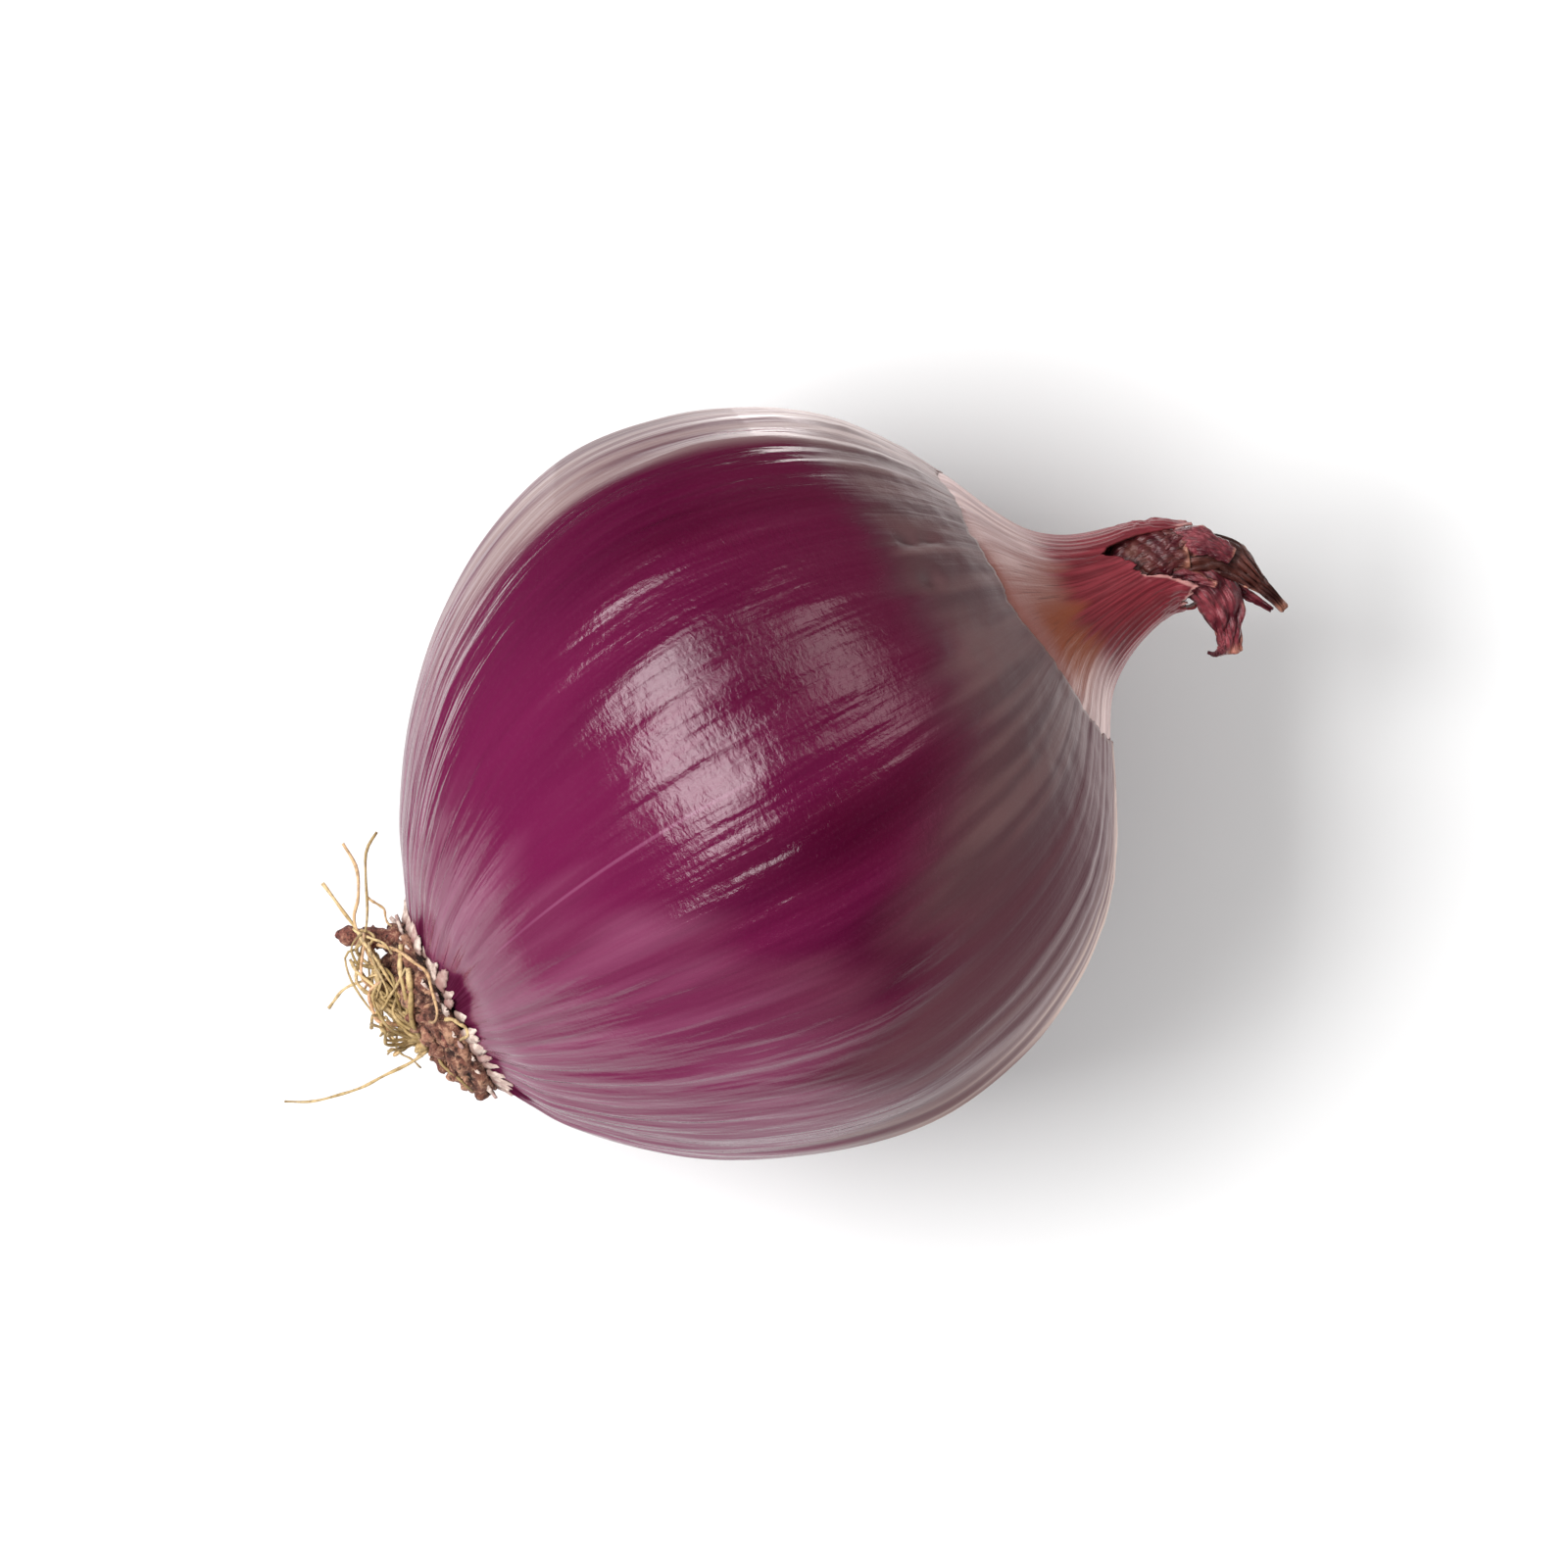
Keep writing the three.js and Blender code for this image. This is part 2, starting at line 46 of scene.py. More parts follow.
# Driving dimensions, the same as the solids'
BULB_RADIUS = 40.0
REST_DEPTH = 0.5
AXIS_HEIGHT = BULB_RADIUS - REST_DEPTH
RIB_COUNT = 60
ROOT_OFFSET = -4.4
PLATE_RADIUS = 10.1
SKIN_OUTLINE = [
    (-39.2, 10.4), (-37.3, 14.4), (-34.6, 19.2), (-28.6, 26.3), (-20.7, 32.8), (-10.4, 37.9),
    (0, BULB_RADIUS), (10.4, 38.5), (18.6, 35.0), (24.9, 30.3), (29.1, 25.3), (32.7, 19.3),
    (35.2, 14.5),
]
NECK_OUTLINE = [
    (30.4, 22.7), (31.8, 20.5), (33.2, 17.9), (35.2, 13.5), (37.3, 10.1), (39.6, 8.05), (42.4, 6.6),
    (46.0, 5.6), (50.0, 5.1), (54.0, 4.9),
]
# Torn ends as (degrees round the axis from +Y, along the axis)
SKIN_END = [
    (0, 32.6), (40, 32.1), (80, 32.0), (103, 32.9), (128, 33.7), (165, 34.6), (200, 34.4),
    (240, 33.3), (280, 32.4), (320, 32.8),
]
SHEATH_END = [
    (0, 52.3), (22, 52.8), (38, 50.0), (44, 44.6), (52, 42.9), (64, 44.3), (78, 45.5),
    (96, 46.4), (108, 48.4), (128, 50.2), (146, 48.8), (166, 48.2), (182, 49.8), (196, 49.9),
    (218, 47.6), (240, 50.3), (262, 48.6), (284, 50.9), (310, 49.8), (336, 51.6),
]

random = seeded(11)


def smooth(low, high, value):
    t = np.clip((np.asarray(value, float) - low) / (high - low), 0, 1)
    return t * t * (3 - 2 * t)


def mix(a, b, share):
    return a + (b - a) * share


def shares_down(count):
    return np.linspace(0, 1, count)[:, None]


def bump_at(value, centre, width):
    return np.exp(-(((value - centre) / width) ** 2))


def sideways(x):
    to_roots = np.clip(-x / 39.2, 0, 1)
    to_shoulder = np.exp(-(((x - 34) / 4) ** 2))
    to_tip = np.clip((x - 45.5) / 8, 0, 1)
    return ROOT_OFFSET * to_roots**2.8 + 0.6 * to_shoulder - 2.9 * to_tip**2


def around_axis(x, radius, angle):
    x, radius, angle = np.broadcast_arrays(x, radius, angle)
    y = sideways(x) + radius * np.cos(angle)
    z = AXIS_HEIGHT + radius * np.sin(angle)
    return np.stack([x, y, z], -1)


# A smooth curve through points, sampled evenly along its length
def curve_through(points, samples=600):
    p = np.asarray(points, float)
    spans = len(p) - 1
    t = np.linspace(0, spans, 40 * spans + 1)
    i = np.minimum(t.astype(int), spans - 1)
    f = (t - i)[:, None]
    p0, p1, p2 = p[np.maximum(i - 1, 0)], p[i], p[i + 1]
    p3 = p[np.minimum(i + 2, spans)]
    v0, v1 = (p2 - p0) / 2, (p3 - p1) / 2
    path = (2 * p1 - 2 * p2 + v0 + v1) * f**3 + (3 * p2 - 3 * p1 - 2 * v0 - v1) * f**2 + v0 * f + p1
    step = np.linalg.norm(np.diff(path, axis=0), axis=1)
    length = np.concatenate([[0], np.cumsum(step)])
    even = np.linspace(0, length[-1], samples)
    return np.stack([np.interp(even, length, path[:, k]) for k in range(p.shape[1])], -1)


class Outline:
    """An outline that is turned round the axis, read at shares of its length."""

    def __init__(self, points):
        self.path = curve_through(points, 1500)
        self.share = np.linspace(0, 1, len(self.path))
        slope = np.gradient(self.path, axis=0)
        self.along = slope / np.linalg.norm(slope, axis=1)[:, None]

    def share_at(self, x):
        return np.interp(x, self.path[:, 0], self.share)

    def point(self, share, angle, raised):
        x, r, tx, tr = (
            np.interp(share, self.share, values)
            for values in (*self.path.T, *self.along.T)
        )
        uneven = 1 + 0.006 * np.sin(2 * angle + 0.5) + 0.005 * np.sin(3 * angle + 0.05 * x)
        return around_axis(x - raised * tr, r * uneven + raised * tx, angle)


def end_at(table, angle):
    degrees = np.degrees(angle) % 360
    at, x = zip(*table)
    return np.interp(degrees, at, x, period=360)


# Smooth noise from -1 to 1 over turns round the axis and shares along it, periodic round it
def streaks(turn, share, around, along, seed):
    values = seeded(seed).uniform(-1, 1, (along + 2, around))
    u = (turn % 1) * around
    v = np.clip(share, 0, 0.9999) * along
    i, j = u.astype(int) % around, v.astype(int)
    fu, fv = smooth(0, 1, u - u.astype(int)), smooth(0, 1, v - j)
    near = mix(values[j, i], values[j, (i + 1) % around], fu)
    far = mix(values[j + 1, i], values[j + 1, (i + 1) % around], fu)
    return mix(near, far, fv)


# Meshes


def placed(name, data):
    thing = bpy.data.objects.new(name, data)
    bpy.context.scene.collection.objects.link(thing)
    return thing


def new_piece(name, points, faces):
    mesh = bpy.data.meshes.new(name)
    mesh.from_pydata((np.asarray(points) * MM).tolist(), [], faces)
    mesh.validate()
    mesh.update()
    mesh.shade_smooth()
    return placed(name, mesh)


def keep_values(piece, **values_by_name):
    for name, values in values_by_name.items():
        attribute = piece.data.attributes.new(name, "FLOAT", "POINT")
        attribute.data.foreach_set("value", np.asarray(values, float).ravel())


# Places on a ring and along the axis, for textures that run along the ribs
def keep_grain(piece, angle, along):
    places = np.stack([np.cos(angle), np.sin(angle), along], -1)
    attribute = piece.data.attributes.new("grain", "FLOAT_VECTOR", "POINT")
    attribute.data.foreach_set("vector", places.ravel())


# The faces of rings of points round an axis, closed with one face at each end
def ring_faces(rings, count):
    faces = []
    for i in range(rings - 1):
        a = i * count
        for j in range(count):
            k = (j + 1) % count
            faces.append((a + j, a + k, a + count + k, a + count + j))
    faces.append(tuple(range(count - 1, -1, -1)))
    last = (rings - 1) * count
    faces.append(tuple(range(last, last + count)))
    return faces


# A tube along a path, with a radius for each point of the path
def tube(path, radius, sides=7):
    steps = len(path)
    along = np.gradient(path, axis=0)
    along /= np.linalg.norm(along, axis=1)[:, None]
    side = np.cross(along[0], [0.31, 0.22, 0.92])
    rings = []
    for k in range(steps):
        side = side - along[k] * side.dot(along[k])
        side = side / np.linalg.norm(side)
        up = np.cross(along[k], side)
        angles = np.arange(sides) * FULL_TURN / sides
        ring = path[k] + radius[k] * (np.outer(np.cos(angles), side) + np.outer(np.sin(angles), up))
        rings.append(ring)
    return np.concatenate(rings), ring_faces(steps, sides)


class Bunch:
    """Gathers many small meshes, with values for each, into one piece."""

    def __init__(self):
        self.points, self.faces, self.values = [], [], {}
        self.count = 0

    def add(self, points, faces, **values):
        self.points.append(points)
        self.faces += [tuple(k + self.count for k in face) for face in faces]
        for name, value in values.items():
            spread = np.broadcast_to(np.asarray(value, float), (len(points),))
            self.values.setdefault(name, []).append(spread)
        self.count += len(points)

    def piece(self, name):
        made = new_piece(name, np.concatenate(self.points), self.faces)
        keep_values(made, **{key: np.concatenate(values) for key, values in self.values.items()})
        return made


# A thin leaf with two faces and a closed rim, from a grid of points (rows, columns, 3)
def leaf_faces(grid, thickness):
    rows, columns = grid.shape[:2]
    du = np.gradient(grid, axis=0)
    dv = np.gradient(grid, axis=1)
    normal = np.cross(du, dv)
    normal /= np.linalg.norm(normal, axis=2)[..., None] + 1e-9
    half = normal * (np.asarray(thickness) / 2)[..., None]
    points = np.concatenate([(grid + half).reshape(-1, 3), (grid - half).reshape(-1, 3)])
    under = rows * columns
    faces = []
    for i in range(rows - 1):
        for j in range(columns - 1):
            a = i * columns + j
            b = a + columns
            faces.append((a, b, b + 1, a + 1))
            faces.append((under + a, under + a + 1, under + b + 1, under + b))
    rim = list(range(columns - 1))
    rim += [i * columns + columns - 1 for i in range(rows - 1)]
    rim += [(rows - 1) * columns + j for j in range(columns - 1, 0, -1)]
    rim += [i * columns for i in range(rows - 1, 0, -1)]
    for k, a in enumerate(rim):
        b = rim[(k + 1) % len(rim)]
        faces.append((a, b, under + b, under + a))
    return points, faces


# Node materials


class Nodes:
    """Short calls that add and link shader nodes of one material."""

    def __init__(self, name):
        self.material = bpy.data.materials.new(name)
        self.material.use_nodes = True
        self.tree = self.material.node_tree
        self.tree.nodes.clear()
        self.shader = self.new("BsdfPrincipled")
        self.fill(self.new("OutputMaterial"), Surface=self.shader.outputs[0])

    def new(self, kind):
        return self.tree.nodes.new("ShaderNode" + kind)

    def put(self, socket, value):
        if isinstance(value, bpy.types.NodeSocket):
            self.tree.links.new(value, socket)
        elif isinstance(value, tuple) and socket.type == "RGBA":
            socket.default_value = (*value, 1)
        else:
            socket.default_value = value

    def fill(self, node, **values):
        """Sets or links inputs by name, with _ for a space."""
        for name, value in values.items():
            self.put(node.inputs[name.replace("_", " ")], value)
        return node

    def attribute(self, name, output="Fac"):
        node = self.new("Attribute")
        node.attribute_name = name
        return node.outputs[output]

    def attributes(self, *names):
        return [self.attribute(name) for name in names]

    def place(self):
        return self.new("TexCoord").outputs["Object"]

    def joined(self, x, y, z):
        return self.fill(self.new("CombineXYZ"), X=x, Y=y, Z=z).outputs[0]

    def scaled(self, vector, scale):
        return self.fill(self.new("Mapping"), Vector=vector, Scale=scale).outputs[0]

    def noise(self, vector, scale, detail=3.0, roughness=0.55, distortion=0.0):
        return self.fill(
            self.new("TexNoise"), Vector=vector, Scale=scale, Detail=detail,
            Roughness=roughness, Distortion=distortion,
        ).outputs["Fac"]

    def math(self, operation, a, b=0.0):
        node = self.new("Math")
        node.operation = operation
        self.put(node.inputs[0], a)
        self.put(node.inputs[1], b)
        return node.outputs[0]

    def times(self, a, b):
        return self.math("MULTIPLY", a, b)

    def plus(self, a, b):
        return self.math("ADD", a, b)

    def ranged(self, value, low, high, to_low=0.0, to_high=1.0):
        node = self.new("MapRange")
        node.interpolation_type = "SMOOTHSTEP"
        self.fill(node, Value=value, From_Min=low, From_Max=high, To_Min=to_low, To_Max=to_high)
        return node.outputs["Result"]

    def blend(self, share, a, b):
        node = self.new("Mix")
        node.data_type = "RGBA"
        return self.fill(node, Factor=share, A=a, B=b).outputs["Result"]

    def tint(self, colour, share, strength, other):
        """The colour, turned towards another by a share times a strength."""
        return self.blend(self.times(share, strength), colour, other)

    def bump(self, height, distance, strength=1.0, normal=None):
        node = self.fill(self.new("Bump"), Strength=strength, Distance=distance, Height=height)
        if normal is not None:
            self.put(node.inputs["Normal"], normal)
        return node.outputs[0]

    def finish(self, colour, roughness, normal, **constants):
        self.fill(self.shader, Base_Color=colour, Roughness=roughness, Normal=normal, **constants)
        return self.material


def rgb(red, green, blue):
    """A colour given as 0 to 255 screen values, as scene values."""

    def scene_value(c):
        return c / 255 / 12.92 if c <= 10 else ((c / 255 + 0.055) / 1.055) ** 2.4

    return tuple(scene_value(c) for c in (red, green, blue))


def dress(piece, material, node):
    piece.data.materials.append(material)
    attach(piece, "root")
    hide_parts(node)


# The bulb's skin

FRESH_DARK = rgb(60, 0, 29)
FRESH_LIGHT = rgb(88, 10, 50)
FRESH_RED = rgb(72, 4, 32)
FRESH_PAINTED_LIGHT = rgb(108, 24, 68)
FRESH_BROWN_PAINTED_FILL = rgb(88, 22, 48)
MAUVE_DARK = rgb(108, 40, 72)
MAUVE_LIGHT = rgb(128, 64, 94)
DRY_BROWN = rgb(84, 32, 50)
DRY_WINE = rgb(92, 44, 58)
DRY_DARK = rgb(80, 44, 50)
DRY_LIGHT = rgb(104, 70, 71)
PLEAT = rgb(62, 12, 34)
HAIRLINE = rgb(164, 100, 134)
TORN_LIP = rgb(150, 124, 112)
PALE_SKIN_AND_PAINTED_RIM = rgb(162, 140, 136)
PAINTED_RIM_LIGHT = rgb(210, 186, 176)

skin = Outline(SKIN_OUTLINE)
BULB_COLUMNS, BULB_ROWS = 420, 215
RIB_HEIGHT = 0.26
SEAM_TURN = 0.75  # the columns start underneath
HAIRLINE_TURN = 0.249
SEAT_X = 30.9  # where the underside of the torn edge meets the bulb

# Where the dry film and the mauve veil start along the axis, as (degrees, x), and how soft the film is.
# The mauve veil is partly paler skin near the roots and partly a painted reflection of the pale floor.
FILM_START = [
    (0, 21), (38, 22), (62, 22.5), (80, 23.5), (92, 23), (104, 19), (112, 14.5), (120, 9), (128, 4),
    (140, 0), (180, -6), (240, 2), (300, 13),
]
FILM_SOFTNESS = [(0, 5), (62, 3.5), (84, 6), (110, 10), (180, 12), (260, 9)]
MAUVE_AND_FLOOR_REFLECTION_START = [
    (0, -34), (40, -33), (80, -24), (100, -16), (120, -4), (140, 8), (160, 14), (180, 20), (240, 10),
    (300, -30),
]

# Long folds of the dry skin, as (degrees, from x, to x, height, half width in degrees)
FOLDS = [
    (10, -22, 30, 0.13, 2.0), (20, -6, 31, 0.16, 1.8), (30, 4, 32, 0.26, 1.6),
    (-4, -30, 28, 0.14, 2.0), (38, 12, 31, 0.18, 1.7), (147, -6, 33, 0.12, 1.9),
    (156, -30, 32, 0.14, 1.8), (165, -33, 26, 0.2, 1.7), (172, -33, 34, 0.14, 1.7),
    (183, -30, 33, 0.2, 1.6), (205, -30, 30, 0.3, 1.6), (236, -28, 31, 0.28, 1.7),
    (330, -30, 31, 0.3, 1.6), (300, -28, 30, 0.28, 1.7), (66, -18, 10, 0.2, 1.8),
    (79, -20, 8, 0.16, 1.8), (98, -14, 4, 0.1, 1.6), (113, -20, 16, 0.1, 1.6),
]
# Small dents in the shoulder, as (degrees, x, depth, radius)
DENTS = [(60, 25.8, 0.6, 1.1), (60, 27.7, 0.45, 0.8), (70.6, 25.8, 0.45, 0.9)]


def warped(turn):
    radians = turn * FULL_TURN
    return radians + 0.03 * np.sin(3 * radians + 1) + 0.02 * np.sin(7 * radians + 2)


def skin_relief(turn, angle, share, x):
    phase = RIB_COUNT * turn * FULL_TURN
    ridge = 1 - 2 * (0.5 - 0.5 * np.cos(phase)) ** 1.4
    rib_number = np.round(turn * RIB_COUNT).astype(int) % RIB_COUNT
    own = seeded(5).uniform(0.1, 1.5, RIB_COUNT)[rib_number]
    own = own * (0.75 + 0.45 * streaks(turn, share, 60, 4, 37))
    to_roots = smooth(0, -34, x)
    degrees = np.degrees(angle) % 360
    lower_side = smooth(95, 125, degrees) * smooth(210, 180, degrees)
    flatter = 0.75 * smooth(-6, 18, x) * (1 - 0.7 * lower_side)
    strength = (0.62 + 0.2 * to_roots) * own * (1 - flatter)
    upper_left = smooth(50, 20, degrees) + smooth(330, 350, degrees)
    strength = strength * (1 - 0.5 * upper_left)
    relief = 0.5 * RIB_HEIGHT * strength * ridge
    relief += 0.02 * streaks(turn, share, 150, 5, 31)
    above = 0.35 + 0.65 * np.clip(np.sin(angle), 0, 1) ** 2
    waves = 0.18 * streaks(turn, share, 21, 3, 33)
    waves += 0.44 * above * streaks(turn + 0.0006 * x, share, 43, 6, 36)
    relief += waves * smooth(34, 22, x)
    for at, first, last, height, width in FOLDS:
        off = (degrees - at - 1.5 * np.sin(0.09 * x + at) + 180) % 360 - 180
        shown = smooth(first, first + 8, x) * smooth(last, last - 5, x)
        relief += height * shown * bump_at(off, 0, width)
    shoulder = smooth(17, 28, x)
    relief += 0.05 * shoulder * streaks(turn + 0.004 * x, share, 90, 60, 34)
    relief += 0.02 * shoulder * streaks(turn - 0.006 * x, share, 160, 110, 35)
    for at, dent_x, depth, radius in DENTS:
        off = ((degrees - at + 180) % 360 - 180) * math.pi / 180 * 28
        relief -= depth * np.exp(-((off / radius) ** 2 + ((x - dent_x) / radius) ** 2))
    return relief * smooth(-39.3, -38.3, x)


def make_bulb():
    seam = np.arange(BULB_COLUMNS) / BULB_COLUMNS
    turn = (seam + SEAM_TURN) % 1
    angle = warped(turn)
    ragged = (
        0.3 * streaks(turn, 0 * turn, 34, 1, 41)
        + 0.16 * streaks(turn, 0 * turn, 110, 1, 42)
        + 0.05 * random.uniform(-1, 1, BULB_COLUMNS)
    )
    end_x = end_at(SKIN_END, angle) + ragged
    end = skin.share_at(end_x)
    share = shares_down(BULB_ROWS) * end[None, :]
    x = np.interp(share, skin.share, skin.path[:, 0])
    turns = np.broadcast_to(turn, share.shape)
    angles = np.broadcast_to(angle, share.shape)
    # The skin gets thinner towards its torn edge.
    thinned = smooth(2.4, 0, end_x - x) * (0.15 - 0.05 * streaks(turns, 0 * turns, 24, 1, 43))
    relief = skin_relief(turns, angles, share, x) - thinned
    outside = skin.point(share, angles, relief)
    outside[..., 2] = np.maximum(outside[..., 2], 0)
    seat_share = skin.share_at(SEAT_X)
    edge = skin.point(end, angle, relief[-1] - 0.1)
    back = skin.point(mix(end, seat_share, 0.35), angle, -0.35)
    seat = skin.point(seat_share + 0 * end, angle, -0.9)
    inner = around_axis(-37.2, 7.4, angle)
    rings = np.concatenate([[inner], outside, [edge, back, seat]])
    piece = new_piece("onion_bulb", rings.reshape(-1, 3), ring_faces(len(rings), BULB_COLUMNS))

    share = np.concatenate([share[:1], share, [end] * 3])
    x = np.concatenate([x[:1], x, [end_x] * 3])
    turn, angle, seam = (np.broadcast_to(values, share.shape) for values in (turn, angle, seam))
    degrees = np.degrees(angle) % 360

    def drift(around, along, seed):
        return streaks(turn, share, around, along, seed)

    # The dry film starts nearer to the roots on the -Y side than on top.
    film_start = end_at(FILM_START, angle) + 1.8 * drift(60, 2, 51)
    film_start = film_start + 6.5 * smooth(90, 150, degrees) * drift(44, 2, 59)
    film_start = film_start + (1.4 + 1.6 * smooth(90, 130, degrees)) * drift(150, 3, 52)
    mauve_and_floor_reflection_start = end_at(MAUVE_AND_FLOOR_REFLECTION_START, angle) + 4 * drift(55, 2, 53) + 3 * drift(140, 3, 54)
    crinkled_x = smooth(-18, -6, x) * smooth(24, 10, x)
    # Dull pale bands along the outline of both flanks as seen from above: partly pale dry skin, partly
    # a painted rim reflection, lightest on the lower flank, which lies in shade
    above_flank = (degrees + 180) % 360 - 180 + 7 * drift(150, 4, 58) + 4 * drift(40, 2, 60)
    below_flank = 180 - degrees + 5 * drift(150, 4, 61)
    ragged_x = x + 9 * drift(64, 2, 62) + 5 * drift(150, 3, 63)
    upper_pale_rim = smooth(36, 18, above_flank) * smooth(-28, -4, above_flank) * smooth(-34, -8, ragged_x)
    lower_pale_rim = smooth(31, 9, below_flank) * smooth(-19, -1, below_flank) * smooth(-22, 12, ragged_x)
    keep_values(
        piece,
        film=smooth(-1, 1, (x - film_start) / end_at(FILM_SOFTNESS, angle)),
        veil=smooth(3.5, -5, x - mauve_and_floor_reflection_start),
        crinkled=crinkled_x * smooth(35, 60, degrees) * smooth(130, 105, degrees),
        wine_side=smooth(112, 140, degrees) * smooth(345, 290, degrees),
        pale_band=upper_pale_rim + 1.8 * lower_pale_rim,
        to_end=end_x - x,
        seam_turn=seam,
        along_x=x,
        from_plate=share * np.linalg.norm(np.diff(skin.path, axis=0), axis=1).sum(),
        streak_wide=0.5 + 0.5 * drift(46, 3, 55),
        streak_fine=0.5 + 0.5 * drift(170, 5, 56),
        pleat=0.5 + 0.5 * streaks(turn, 0 * share, 50, 1, 57),
    )
    keep_grain(piece, angle, 2.6 * share)
    return piece


def skin_material():
    n = Nodes("onion_skin")
    grain = n.attribute("grain", "Vector")
    along_lines = n.noise(n.scaled(grain, (1, 1, 0.055)), 46, 3, 0.6)
    fine_lines = n.noise(n.scaled(grain, (1, 1, 0.03)), 130, 2, 0.5)
    blotches = n.noise(n.scaled(grain, (1, 1, 0.35)), 5.5, 3, 0.6)
    specks = n.noise(n.place(), 2600, 2, 0.6)
    wide, fine, film, veil = n.attributes("streak_wide", "streak_fine", "film", "veil")
    x, to_end, pale_rim_share, crinkled = n.attributes("along_x", "to_end", "pale_band", "crinkled")

    tone = n.plus(n.times(wide, 0.6), n.times(along_lines, 0.4))
    colour = n.blend(n.ranged(tone, 0.2, 0.85), FRESH_DARK, FRESH_LIGHT)
    colour = n.tint(colour, n.ranged(blotches, 0.45, 0.75), 0.4, FRESH_RED)
    # Lighter towards the roots, on the side the key light comes from: painted light
    colour = n.blend(n.ranged(x, 10, -26, 0.0, 0.8), colour, FRESH_PAINTED_LIGHT)
    # Lighter brownish red towards the neck, on the side turned from the key light: painted fill light,
    # partly the browner skin next to the dry film
    colour = n.blend(n.ranged(x, 2, 22, 0.0, 0.6), colour, FRESH_BROWN_PAINTED_FILL)
    # The mauve veil towards the roots and on the lower side: partly the skin's paler tone near the
    # roots, partly a painted reflection of the pale floor
    mauve = n.blend(n.ranged(fine, 0.2, 0.9), MAUVE_DARK, MAUVE_LIGHT)
    mauve = n.blend(n.ranged(x, -20, 4, 0.0, 0.85), mauve, DRY_WINE)
    soft_mauve_and_floor_reflection = n.times(veil, n.ranged(along_lines, 0.25, 0.7, 0.8, 1.0))
    colour = n.tint(colour, soft_mauve_and_floor_reflection, 0.8, mauve)
    mottle = n.plus(n.times(fine, 0.4), n.times(blotches, 0.6))
    dry = n.blend(n.ranged(mottle, 0.3, 0.7), DRY_DARK, DRY_LIGHT)
    dry = n.tint(dry, n.attribute("wine_side"), 0.7, DRY_WINE)
    colour = n.blend(n.ranged(film, 0.0, 0.6), colour, DRY_BROWN)
    colour = n.blend(n.ranged(film, 0.4, 1.0), colour, dry)

    # Painted rim reflection on the pale bands: the lightest colour goes on the shaded lower flank
    pale_rim_colour = n.blend(n.ranged(pale_rim_share, 1.0, 1.7), PALE_SKIN_AND_PAINTED_RIM, PAINTED_RIM_LIGHT)
    colour = n.tint(colour, pale_rim_share, n.ranged(fine, 0.15, 0.85, 0.15, 0.9), pale_rim_colour)

    # Dark pleats where the ribs run together at the root plate
    reach = n.math("SUBTRACT", n.attribute("from_plate"), n.times(n.attribute("pleat"), 6.5))
    pleats = n.times(n.ranged(reach, 0.6, -2.4), n.ranged(along_lines, 0.72, 0.4, 0.6, 1.0))
    colour = n.tint(colour, pleats, 0.9, PLEAT)
    # The pale hairline along the top, and the pale torn edge
    hairline_seam = (HAIRLINE_TURN - SEAM_TURN) % 1
    off = n.math("ABSOLUTE", n.math("SUBTRACT", n.attribute("seam_turn"), hairline_seam))
    ends = n.times(n.ranged(x, -33.5, -30), n.ranged(x, 5.5, -16))
    hair = n.times(n.ranged(off, 0.001, 0.0002), ends)
    hair = n.times(hair, n.ranged(along_lines, 0.2, 0.55, 0.45, 1.0))
    colour = n.tint(colour, hair, 0.32, HAIRLINE)
    colour = n.tint(colour, n.ranged(to_end, 0.3, 0.05), 0.25, TORN_LIP)
    colour = n.tint(colour, n.ranged(specks, 0.5, 0.8), 0.03, HAIRLINE)

    long_folds = n.noise(n.scaled(grain, (1, 1, 0.14)), 17, 2, 0.5)
    crinkle = n.noise(n.scaled(grain, (0.7, 0.7, 1)), 22, 2, 0.5, 0.5)
    cross = n.noise(n.scaled(grain, (0.36, 0.36, 1)), 52, 3, 0.6, 0.5)
    patches = n.ranged(n.noise(grain, 4.0, 2, 0.5), 0.4, 0.62)
    wrinkles = n.plus(n.times(crinkle, 0.9), n.times(cross, patches))
    wrinkles = n.times(wrinkles, crinkled)
    crackle = n.noise(n.scaled(grain, (0.75, 0.75, 1)), 60, 3, 0.6, 0.7)
    crackle = n.times(crackle, n.ranged(crinkled, 0.0, 1.0, 0.4, 1.0))
    tiny = n.noise(n.scaled(grain, (1, 1, 0.8)), 120, 3, 0.6)
    long_folds = n.times(long_folds, n.ranged(film, 0.2, 0.9, 1.0, 0.3))
    normal = n.bump(long_folds, 0.00044)
    for height, distance in (
        (along_lines, 0.00005), (fine_lines, 0.00001), (wrinkles, 0.0001), (crackle, 0.00006),
        (tiny, 0.000008),
    ):
        normal = n.bump(height, distance, 1.0, normal)
    dull_pale_rim = n.math("MINIMUM", n.times(pale_rim_share, 0.26), 0.34)
    dull = n.math("MAXIMUM", n.times(film, 0.32), dull_pale_rim)
    rough = n.plus(n.ranged(along_lines, 0.3, 0.7, 0.16, 0.22), dull)
    gloss = n.ranged(n.times(film, n.attribute("wine_side")), 0.0, 0.9, 0.5, 0.2)
    gloss = n.times(gloss, n.ranged(pleats, 0.0, 0.6, 1.0, 0.0))
    gloss = n.times(gloss, n.ranged(pale_rim_share, 0.1, 2.0, 1.0, 0.2))
    n.put(n.shader.inputs["Specular IOR Level"], gloss)
    return n.finish(colour, rough, normal)


bulb = make_bulb()
dress(bulb, skin_material(), "bulb")

# The neck: the next skin, drawn out to a sheath that is torn open on top

